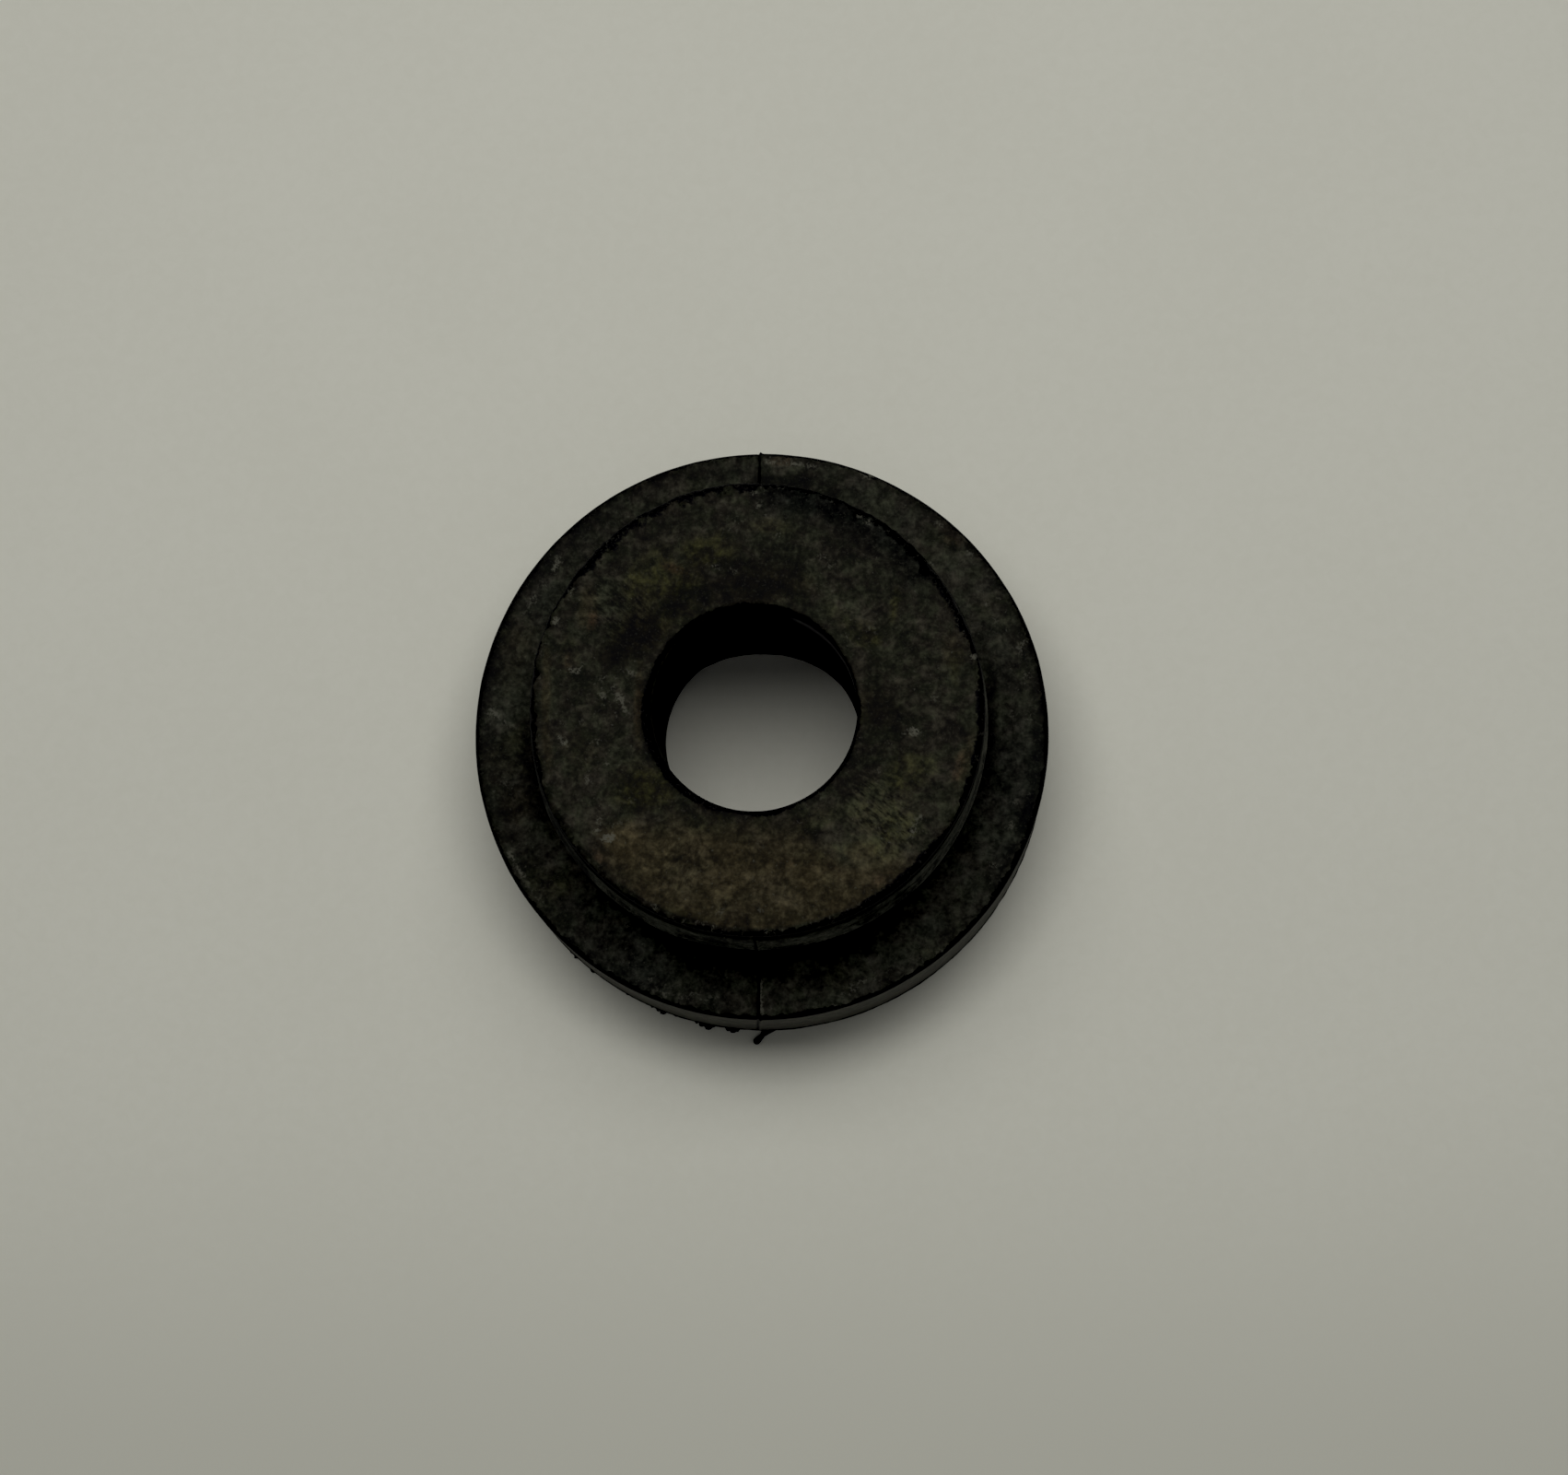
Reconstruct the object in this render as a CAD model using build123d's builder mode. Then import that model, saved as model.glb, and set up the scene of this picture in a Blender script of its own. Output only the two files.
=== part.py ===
from build123d import *
import os

# Radiator mount: one rubber moulding, a body of revolution about Z.
# It stands on the flat underside of its flange, with the origin at the
# centre of that underside and +Z up through the bore.
# From the bottom up: a thick base flange, a neck with a groove round it that
# takes the edge of a sheet-metal bracket, and a retaining lip above the groove.
# All dimensions are in millimetres.

# ---- driving dimensions -------------------------------------------------
flange_diameter = 40.0      # outside of the base flange
flange_thickness = 9.0      # underside to the shoulder the bracket sits on

neck_diameter = 26.0        # bottom of the groove
groove_width = 4.0          # height of the groove along the axis

lip_root_diameter = 31.0    # lip, at the edge over the groove
lip_crown_diameter = 30.6   # lip, at its top edge: a slight draft
lip_thickness = 6.0

bore_diameter = 13.8        # through bore for the radiator's pin
lead_in_diameter = 14.8     # mouth of the tapered lead-in, on the flange side
lead_in_depth = 4.5

# edge radii of the moulding
flange_top_edge_radius = 0.35
flange_foot_edge_radius = 0.25
neck_corner_radius = 0.6
lip_root_edge_radius = 0.3
lip_crown_edge_radius = 0.5
bore_crown_edge_radius = 0.5
bore_foot_edge_radius = 0.3

# ---- derived heights ----------------------------------------------------
groove_floor_z = flange_thickness
lip_root_z = flange_thickness + groove_width
total_height = flange_thickness + groove_width + lip_thickness


def rim(part, radius, height):
    """The circular edge of the given radius at the given height."""
    rings = part.edges().filter_by(GeomType.CIRCLE)
    at_height = [e for e in rings if abs(e.center().Z - height) < 1e-3]
    return [e for e in at_height if abs(e.radius - radius) < 1e-3]


with BuildPart() as mount_bush:
    # outer profile, turned once round Z
    with BuildSketch(Plane.XZ) as half_section:
        with BuildLine():
            Polyline(
                (0, 0),
                (flange_diameter / 2, 0),
                (flange_diameter / 2, groove_floor_z),
                (neck_diameter / 2, groove_floor_z),
                (neck_diameter / 2, lip_root_z),
                (lip_root_diameter / 2, lip_root_z),
                (lip_crown_diameter / 2, total_height),
                (0, total_height),
                close=True,
            )
        make_face()
    revolve(axis=Axis.Z)

    # bore for the pin, right through
    with Locations((0, 0, total_height / 2)):
        Hole(radius=bore_diameter / 2)

    # tapered lead-in at the flange-side mouth
    with BuildSketch(Plane.XZ) as lead_in_section:
        with BuildLine():
            Polyline(
                (0, 0),
                (lead_in_diameter / 2, 0),
                (bore_diameter / 2, lead_in_depth),
                (0, lead_in_depth),
                close=True,
            )
        make_face()
    revolve(axis=Axis.Z, mode=Mode.SUBTRACT)

    # inside corners of the groove
    fillet(
        rim(mount_bush.part, neck_diameter / 2, groove_floor_z)
        + rim(mount_bush.part, neck_diameter / 2, lip_root_z),
        radius=neck_corner_radius,
    )
    # outside edges
    fillet(rim(mount_bush.part, flange_diameter / 2, groove_floor_z), radius=flange_top_edge_radius)
    fillet(rim(mount_bush.part, flange_diameter / 2, 0), radius=flange_foot_edge_radius)
    fillet(rim(mount_bush.part, lip_root_diameter / 2, lip_root_z), radius=lip_root_edge_radius)
    fillet(rim(mount_bush.part, lip_crown_diameter / 2, total_height), radius=lip_crown_edge_radius)
    # mouths of the bore
    fillet(rim(mount_bush.part, bore_diameter / 2, total_height), radius=bore_crown_edge_radius)
    fillet(rim(mount_bush.part, lead_in_diameter / 2, 0), radius=bore_foot_edge_radius)

mount_bush.part.label = "mount_bush"

os.makedirs("parts", exist_ok=True)
export_step(mount_bush.part, "parts/mount_bush.step")
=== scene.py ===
import math

import bpy
import numpy as np
from mathutils import Matrix, Vector


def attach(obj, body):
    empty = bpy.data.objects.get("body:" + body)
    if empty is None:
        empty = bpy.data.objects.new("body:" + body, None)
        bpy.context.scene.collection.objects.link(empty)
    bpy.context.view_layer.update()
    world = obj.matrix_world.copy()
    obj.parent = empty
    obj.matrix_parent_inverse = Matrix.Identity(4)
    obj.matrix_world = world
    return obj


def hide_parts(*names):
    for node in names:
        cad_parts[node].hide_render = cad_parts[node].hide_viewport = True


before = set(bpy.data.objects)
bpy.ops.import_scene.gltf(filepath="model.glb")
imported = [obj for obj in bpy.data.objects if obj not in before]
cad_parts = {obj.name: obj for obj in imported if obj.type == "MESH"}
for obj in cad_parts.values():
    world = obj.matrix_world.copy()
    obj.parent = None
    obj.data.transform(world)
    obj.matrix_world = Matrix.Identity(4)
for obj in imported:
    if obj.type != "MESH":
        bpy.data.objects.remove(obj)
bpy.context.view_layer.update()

# Lengths in this script are millimetres until the mesh is made, in the part's
# own frame: the bore runs along +Z, the underside lies at z = 0, and azimuth
# is measured in degrees from +X towards +Y.

MM = 0.001

# ---- the moulding's sizes, as in its construction model ---------------------
FLANGE_R = 20.0
FLANGE_T = 9.0
NECK_R = 13.0
LIP_Z = 13.0
LIP_ROOT_R = 15.5
LIP_CROWN_R = 15.3
TOP_Z = 19.0
BORE_R = 6.9
LEAD_IN_Z = 4.5

SEGMENTS = 900          # round the outside; the hidden faces use half as many
SEAM_X = -0.118         # the mould's parting plane


# ---- repeatable noise -------------------------------------------------------
def lattice(i, j, k, seed):
    """A fixed value from -1 to 1 at every whole-number point."""
    h = (i * 374761393 + j * 668265263 + k * 2246822519 + seed * 3266489917) & 0xFFFFFFFF
    h = ((h ^ (h >> 13)) * 1274126177) & 0xFFFFFFFF
    h = (h ^ (h >> 16)) & 0xFFFFFFFF
    return h / 2147483647.5 - 1.0


def noise(p, cell, seed=0):
    """Smooth noise of the given cell size at points p, (n, 3)."""
    q = np.asarray(p, float) / cell
    f = np.floor(q).astype(np.int64)
    t = q - f
    u = t * t * t * (t * (t * 6 - 15) + 10)
    total = 0.0
    for a in (0, 1):
        wa = u[:, 0] if a else 1 - u[:, 0]
        for b in (0, 1):
            wb = u[:, 1] if b else 1 - u[:, 1]
            for c in (0, 1):
                wc = u[:, 2] if c else 1 - u[:, 2]
                total = total + wa * wb * wc * lattice(f[:, 0] + a, f[:, 1] + b, f[:, 2] + c, seed)
    return total


def fbm(p, cell, octaves=3, seed=0, gain=0.5):
    total, weight, size = 0.0, 0.0, 1.0
    for n in range(octaves):
        total = total + size * noise(p, cell / 2**n, seed + 17 * n)
        weight += size
        size *= gain
    return total / weight


def smooth(x, low, high):
    t = np.clip((x - low) / (high - low), 0, 1)
    return t * t * (3 - 2 * t)


def turn(az, centre):
    """Signed angle from centre to az, from -180 to 180 degrees."""
    return (az - centre + 180.0) % 360.0 - 180.0


def bell(az, centre, width):
    return np.exp(-((turn(az, centre) / width) ** 2))


def span(az, start, end, soft):
    """1 from azimuth start, turning left, to azimuth end, with soft ends."""
    middle, half = (start + end) / 2, (end - start) / 2
    return smooth(half - np.abs(turn(az, middle)), -soft / 2, soft / 2)


# ---- where the columns of the mesh stand ------------------------------------
# They stand closer together at the two ends of the parting line and where the
# torn flash is.
def column_angles(count):
    t = np.linspace(-180.0, 180.0, 14401)
    weight = 1.0 + 2.6 * bell(t, -90, 2.6) + 1.8 * bell(t, 90, 2.4)
    weight += 0.55 * bell(t, -107, 12.0)
    c = np.concatenate([[0.0], np.cumsum((weight[1:] + weight[:-1]) / 2)])
    return np.interp(np.arange(count) / count * c[-1], c, t)


AZ = column_angles(SEGMENTS)
RAD = np.radians(AZ)
COS, SIN = np.cos(RAD), np.sin(RAD)
ONE = np.ones(SEGMENTS)


def round_the_rim(radius, cell, seed, octaves=2):
    """Noise along a circle, with no break where it closes."""
    return fbm(np.stack([radius * COS, radius * SIN, 3.7 * ONE], 1), cell, octaves, seed)


# ---- the section, ring by ring ----------------------------------------------
rings = []              # (radius, height, shift x, shift y, zone, fine)


def ring(radius, height, zone, fine=True, shift=(0.0, 0.0)):
    rings.append((radius * ONE, height * ONE, shift[0] * ONE, shift[1] * ONE, zone, fine))


# mouth of the bore in the underside: a little out of true, and flattened on
# the side where a skin of flash was left in it
MOUTH_SHIFT = (-0.28, -0.08)
mouth = 7.50 - 0.20 * bell(AZ, 90, 26) + 0.14 * bell(AZ, 142, 22) + 0.10 * bell(AZ, 40, 16)
mouth = mouth + 0.035 * round_the_rim(7.5, 0.9, 5, 3)
for phi in (0, 30, 60):
    a = math.radians(phi)
    ring(mouth + 0.3 - 0.3 * math.cos(a), 0.3 - 0.3 * math.sin(a), "mouth", False, MOUTH_SHIFT)

# underside
for k in range(11):
    t = k / 10
    fade = 1 - t
    ring((mouth + 0.3) * (1 - t) + 19.72 * t, 0.0, "under", False,
         (MOUTH_SHIFT[0] * fade, MOUTH_SHIFT[1] * fade))

# flash round the foot: a thin torn skin, with a few tabs left on it
flash = 0.05 + 0.035 * round_the_rim(20, 1.1, 11, 3) + 0.02 * round_the_rim(20, 0.4, 12, 2)
tabs = (
    # azimuth, half width in degrees, how far it stands out
    (-95.6, 0.45, 0.24), (-96.6, 0.75, 0.36), (-97.6, 0.40, 0.27),
    (-100.7, 0.35, 0.20), (-101.6, 0.85, 0.40), (-103.0, 0.65, 0.30), (-104.1, 0.30, 0.16),
    (-108.6, 0.25, 0.10), (-111.3, 0.70, 0.26), (-112.4, 0.35, 0.17), (-113.8, 0.30, 0.13),
    (-119.5, 0.25, 0.09), (-128.0, 0.45, 0.17), (-132.6, 0.40, 0.19), (-133.9, 0.25, 0.10),
    (-64.0, 0.30, 0.06), (-48.0, 0.30, 0.06), (16.0, 0.5, 0.14), (58.0, 0.6, 0.18),
    (61.5, 0.4, 0.10), (128.0, 0.8, 0.22), (131.0, 0.4, 0.14), (171.0, 0.5, 0.16),
)
for centre, half, out in tabs:
    flash = np.maximum(flash, out * np.clip(1.25 - np.abs(turn(AZ, centre) / half) ** 2.2, 0, 1))
flash = np.clip(flash + 0.03 * round_the_rim(20, 0.25, 13, 2) * (flash > 0.1), 0.015, None)

ring(19.86, 0.015, "flash")
ring(20.0, 0.05, "flash")
ring(20.0 + 0.55 * flash, 0.055 + 0.05 * flash, "flash")
ring(20.0 + flash, 0.075 + 0.15 * flash, "flash")
ring(20.0 + flash, 0.125 + 0.35 * flash, "flash")
ring(20.0 + 0.5 * flash, 0.19 + 0.30 * flash, "flash")
ring(20.0, 0.27, "flash")

# side of the flange
side_rings = (0.5, 1.6, 3.0, 4.6, 6.2, 7.6, 8.5)
for z in side_rings:
    ring(FLANGE_R, z, "side")

# its top edge
edge = 0.35 + 0.06 * round_the_rim(20, 2.4, 21, 3)
for phi in (0, 22.5, 45, 67.5, 90):
    a = math.radians(phi)
    ring(FLANGE_R - edge + edge * math.cos(a), FLANGE_T - edge + edge * math.sin(a), "flange_edge")

# top of the flange, from the edge inwards
for k in range(1, 21):
    t = k / 20
    ring((FLANGE_R - edge) * (1 - t) + (NECK_R + 0.6) * t, FLANGE_T, "flange_top")

# groove: its two inside corners and the neck between them
for phi in (45, 90):
    a = math.radians(phi)
    ring(NECK_R + 0.6 - 0.6 * math.sin(a), FLANGE_T + 0.6 - 0.6 * math.cos(a), "neck", False)
for z in (FLANGE_T + 1.5, LIP_Z - 1.5):
    ring(NECK_R, z, "neck", False)
for phi in (90, 45, 0):
    a = math.radians(phi)
    ring(NECK_R + 0.6 - 0.6 * math.sin(a), LIP_Z - 0.6 + 0.6 * math.cos(a), "neck", False)
ring(14.5, LIP_Z, "lip_under", False)

# lower edge of the lip: it flares a little
flare = 0.14 + 0.04 * span(AZ, -66, -30, 20) + 0.11 * span(AZ, -160, -104, 14) + 0.03 * round_the_rim(15.5, 3.0, 31, 2)
ring(LIP_ROOT_R - 0.25 + flare, LIP_Z, "lip_root")
ring(LIP_ROOT_R - 0.08 + flare, LIP_Z + 0.09, "lip_root")
ring(LIP_ROOT_R + flare, LIP_Z + 0.28, "lip_root")
ring(LIP_ROOT_R + 0.72 * flare, LIP_Z + 0.55, "lip_root")
ring(LIP_ROOT_R - 0.02 + 0.22 * flare, LIP_Z + 0.95, "lip_side")

# side of the lip
for z in (14.6, 15.8, 16.9, 17.5):
    t = (z - 13.3) / 5.2
    ring(LIP_ROOT_R * (1 - t) + LIP_CROWN_R * t, z, "lip_side")

# top edge of the lip: crisp on the near side, torn and worn on the far side
torn = span(AZ, 22, 186, 22)
broken = torn + 0.45 * bell(AZ, -92, 24) + 0.35 * bell(AZ, -150, 16) + 0.12
wear = (0.62 * round_the_rim(15.3, 1.15, 41, 2) + 0.55 * round_the_rim(15.3, 0.42, 43, 2))
crown = 0.42 + broken * 0.26 * wear + 0.10 * torn
crown = np.clip(crown, 0.16, 0.95)
swell = (0.24 * bell(AZ, 106, 34) - 0.18 * bell(AZ, 30, 16) - 0.14 * bell(AZ, 180, 14)
         + 0.10 * torn * round_the_rim(15.3, 0.55, 47, 2))
nick = 0.34 * np.clip(1.2 - np.abs(turn(AZ, 39.6) / 1.35) ** 2.0, 0, 1)
for phi in (0, 20, 40, 60, 78, 90):
    a = math.radians(phi)
    up = math.sin(a)
    ring(LIP_CROWN_R + swell - nick * (0.4 + 0.6 * up) - crown + crown * math.cos(a),
         TOP_Z - crown + crown * up - 0.22 * nick * up, "crown")

# top face of the lip, from its edge to the edge of the bore
BORE_SHIFT = (-0.142, -0.03)
bore_edge = 0.44 - 0.19 * COS + 0.05 * round_the_rim(7.4, 1.3, 51, 2)
outer = LIP_CROWN_R + swell - nick - crown
inner = BORE_R + bore_edge
for k in range(1, 35):
    t = k / 34
    ring(outer * (1 - t) + inner * t, TOP_Z - 0.22 * nick * (1 - t) ** 8, "top", True,
         (BORE_SHIFT[0] * t, BORE_SHIFT[1] * t))

# edge of the bore in that face
for phi in (25, 50, 72, 90):
    a = math.radians(phi)
    ring(BORE_R + bore_edge - bore_edge * math.sin(a), TOP_Z - bore_edge + bore_edge * math.cos(a),
         "bore_edge", True, BORE_SHIFT)

# bore, down to the tapered lead-in
for z in (17.2, 15.4, 13.4, 11.2, 9.0, 6.8, LEAD_IN_Z + 0.3):
    t = (18.5 - z) / 14.0
    ring(BORE_R + 0.015 * round_the_rim(7, 4.0, 55, 2), z, "bore", False,
         (BORE_SHIFT[0] * (1 - t), BORE_SHIFT[1] * (1 - t)))
for k in range(1, 6):
    t = k / 6
    t = t ** 1.15
    ring(BORE_R * (1 - t) + mouth * t, LEAD_IN_Z * (1 - t) + 0.3 * t, "lead_in", False,
         (MOUTH_SHIFT[0] * t, MOUTH_SHIFT[1] * t))


# ---- the mesh ---------------------------------------------------------------
def build_mesh():
    first, columns = [], []
    points, cell_of = [], []
    total = 0
    for number, (r, z, sx, sy, zone, fine) in enumerate(rings):
        pick = np.arange(SEGMENTS) if fine else np.arange(0, SEGMENTS, 2)
        points.append(np.stack([(r * COS + sx)[pick], (r * SIN + sy)[pick], z[pick]], 1))
        cell_of.append(np.full(len(pick), number))
        first.append(total)
        columns.append(pick)
        total += len(pick)
    points, ring_of = np.concatenate(points), np.concatenate(cell_of)
    column_of = np.concatenate(columns)

    # distance along the section, for the flat map of the surface
    mean = np.array([[r.mean(), z.mean()] for r, z, *_ in rings])
    step = np.hypot(*(np.roll(mean, -1, 0) - mean).T)
    share = {"top": 1.7, "crown": 1.8, "flange_top": 1.6, "flange_edge": 1.8, "flash": 1.6,
             "bore_edge": 1.6, "under": 0.55, "bore": 0.6, "lead_in": 0.6, "neck": 0.6}
    step = step * np.array([share.get(zone, 1.0) for *_, zone, _ in rings])
    along = np.concatenate([[0.0], np.cumsum(step)])
    along = 0.004 + 0.992 * along / along[-1]

    faces, uvs = [], []
    turns = (AZ + 180.0) / 360.0 * 0.992 + 0.004

    def place(column, row):
        return (turns[column % SEGMENTS] + (0.992 if column >= SEGMENTS else 0.0), along[row])

    count = len(rings)
    for j in range(count):
        k = (j + 1) % count
        fine_j, fine_k = rings[j][5], rings[k][5]
        a, b = first[j], first[k]
        if fine_j == fine_k:
            skip = 1 if fine_j else 2
            n = SEGMENTS // skip
            for i in range(n):
                m = (i + 1) % n
                faces.append((a + i, a + m, b + m, b + i))
                uvs += [place(i * skip, j), place(i * skip + skip, j),
                        place(i * skip + skip, j + 1), place(i * skip, j + 1)]
        else:
            n = SEGMENTS // 2
            for i in range(n):
                m = (i + 1) % n
                f0, f1, f2 = 2 * i, 2 * i + 1, (2 * i + 2) % SEGMENTS
                if fine_j:
                    faces += [(a + f0, a + f1, b + i), (a + f1, b + m, b + i), (a + f1, a + f2, b + m)]
                    uvs += [place(2 * i, j), place(2 * i + 1, j), place(2 * i, j + 1),
                            place(2 * i + 1, j), place(2 * i + 2, j + 1), place(2 * i, j + 1),
                            place(2 * i + 1, j), place(2 * i + 2, j), place(2 * i + 2, j + 1)]
                else:
                    faces += [(a + i, b + f1, b + f0), (a + i, a + m, b + f1), (a + m, b + f2, b + f1)]
                    uvs += [place(2 * i, j), place(2 * i + 1, j + 1), place(2 * i, j + 1),
                            place(2 * i, j), place(2 * i + 2, j), place(2 * i + 1, j + 1),
                            place(2 * i + 2, j), place(2 * i + 2, j + 1), place(2 * i + 1, j + 1)]
    return points, ring_of, column_of, faces, uvs


points, ring_of, column_of, faces, uvs = build_mesh()
zone_of = np.array([r[4] for r in rings])[ring_of]
az = AZ[column_of]
radius = np.hypot(points[:, 0], points[:, 1])

# curled scrap of flash at the near end of the parting line: the flash there is
# drawn out into a hook, whose outline is given left to right, x then outwards
hook_from, hook_to = -0.20, 0.86
hook = np.array([
    (-0.20, 0.0), (-0.30, 0.22), (-0.42, 0.42), (-0.60, 0.56), (-0.78, 0.66), (-0.86, 0.82),
    (-0.80, 1.00), (-0.62, 1.09), (-0.44, 1.04), (-0.34, 0.90), (-0.34, 0.74), (-0.18, 0.58),
    (0.04, 0.44), (0.28, 0.30), (0.55, 0.17), (0.86, 0.02)])
hook_length = np.concatenate([[0.0], np.cumsum(np.hypot(*np.diff(hook, axis=0).T))])
hook_length /= hook_length[-1]
flash_rings = [n for n, r in enumerate(rings) if r[4] == "flash"]
reach = {flash_rings[2]: 0.55, flash_rings[3]: 1.0, flash_rings[4]: 1.0, flash_rings[5]: 0.5}
lift = {flash_rings[2]: 0.03, flash_rings[3]: 0.06, flash_rings[4]: 0.30, flash_rings[5]: 0.34}
for number, share in reach.items():
    here = (ring_of == number) & (points[:, 1] < 0) & (points[:, 0] > hook_from) & (points[:, 0] < hook_to)
    x = points[here, 0]
    t = (x - hook_from) / (hook_to - hook_from)
    hx = np.interp(t, hook_length, hook[:, 0])
    hy = np.interp(t, hook_length, hook[:, 1])
    bulb = np.exp(-(((hx + 0.6) / 0.3) ** 2 + ((hy - 0.85) / 0.3) ** 2))
    foot_y = -np.sqrt(FLANGE_R**2 - x**2)
    points[here, 0] = x * (1 - share) + hx * share
    points[here, 1] = foot_y * (1 - share) + (-np.sqrt(FLANGE_R**2 - hx**2) - hy) * share
    points[here, 2] = 0.07 + lift[number] * (0.55 + 0.75 * bulb * share) + 0.05 * hy * share

mesh = bpy.data.meshes.new("bush_moulding")
mesh.from_pydata((points * MM).tolist(), [], faces)
mesh.update()

# ---- fine shape: waves, pits, the parting line ------------------------------
normals = np.empty(len(points) * 3, np.float32)
mesh.vertices.foreach_get("normal", normals)
normals = normals.reshape(-1, 3).astype(float)

flat_face = np.isin(zone_of, ["top", "flange_top"])
move = 0.030 * fbm(points, 5.5, 2, 71) + 0.016 * fbm(points, 1.3, 3, 72)
move = move + 0.010 * fbm(points, 0.45, 2, 73) * flat_face
quiet = np.isin(zone_of, ["under", "mouth", "flash"])
move = np.where(quiet, 0.0, move)
move = np.where(np.isin(zone_of, ["side", "bore", "lead_in"]), 0.6 * move, move)

# The two halves of the mould don't quite meet: the half at +X stands a hair
# proud, with a fine cut on its left.
seam_x = np.full(len(points), SEAM_X)
low = (points[:, 1] < 0) & np.isin(zone_of, ["side", "flange_edge", "flash"])
seam_x = np.where(low, SEAM_X - 0.36 * np.clip((FLANGE_T - points[:, 2]) / FLANGE_T, 0, 1), seam_x)
across = points[:, 0] - seam_x
across = across + 0.025 * noise(points, 0.8, 81)
on_seam = np.isin(zone_of, ["side", "flange_edge", "flange_top", "neck", "lip_under", "lip_root", "lip_side"])
cut = -0.075 * np.exp(-(((across + 0.05) / 0.075) ** 2))
ridge = 0.060 * np.exp(-(((across - 0.11) / 0.10) ** 2)) * (0.8 + 0.5 * noise(points, 0.5, 82))
proud = 0.035 * smooth(across, -0.03, 0.05) * np.exp(-np.clip(across, 0, None) / 1.6)
move = move + on_seam * (cut + ridge + proud)
blade = on_seam * (points[:, 1] > 0) * np.isin(zone_of, ["side", "flange_edge"])
move = move + blade * 0.24 * np.exp(-((across / 0.075) ** 2)) * (0.8 + 0.3 * noise(points, 1.0, 83))

points = points + normals * move[:, None]
points[:, 2] = np.maximum(points[:, 2], 0.0)
mesh.vertices.foreach_set("co", (points * MM).astype(np.float32).ravel())
mesh.update()

layer = mesh.uv_layers.new(name="OFBake")
layer.data.foreach_set("uv", np.array(uvs, np.float32).ravel())
mesh.polygons.foreach_set("use_smooth", np.ones(len(faces), bool))

# ---- where the dust lies and where it is worn off; painted light and shade too ---
# Dust is 1 where the film is as thick as on most of the upper faces.
# On the flange's side the 2.45 is partly dust and partly painted reflection: it lightens the wall to stand in for its
# grazing reflection of the paper.
profile_dust_and_light = {
    "top": 0.92, "crown": 0.86, "bore_edge": 0.55, "bore": 0.03, "lead_in": 0.03, "mouth": 0.05,
    "under": 0.55, "flash": 0.02, "side": 2.45, "flange_edge": 0.95, "flange_top": 1.08,
    "neck": 0.03, "lip_under": 0.03, "lip_root": 0.40, "lip_side": 0.32,
}
X, Y = points[:, 0], points[:, 1]
dust_and_painted_light = np.array([profile_dust_and_light[z] for z in zone_of])
level = np.ones(len(points))
on_top = zone_of == "top"
on_crown = zone_of == "crown"
on_lip_face = on_top | on_crown | (zone_of == "bore_edge")
on_flange = np.isin(zone_of, ["flange_top", "flange_edge"])

rag = 0.5 * noise(points, 0.9, 91) + 0.5 * noise(points, 0.38, 92)
coarse_edge = fbm(points, 1.7, 4, 95, 0.62)
fine_edge = fbm(points, 0.5, 2, 96)


def patch(x, y, wide, high, lean=0.0, ragged=0.55):
    """A soft oval mark with an uneven outline, seen from above."""
    a = math.radians(lean)
    dx, dy = X - x, Y - y
    u = (dx * math.cos(a) + dy * math.sin(a)) / wide
    v = (-dx * math.sin(a) + dy * math.cos(a)) / high
    uneven = coarse_edge if wide + high > 1.2 else fine_edge
    return 1 - smooth(np.hypot(u, v) + ragged * uneven, 0.45, 1.30)


def marks(items, where, ragged=0.55, least=0.0):
    total = np.zeros(len(points))
    for x, y, wide, high, lean, amount in items:
        if least:
            wide, high = max(1.25 * wide, least), max(1.25 * high, least)
        total = total + amount * patch(x, y, wide, high, lean, ragged)
    return total * where


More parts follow.
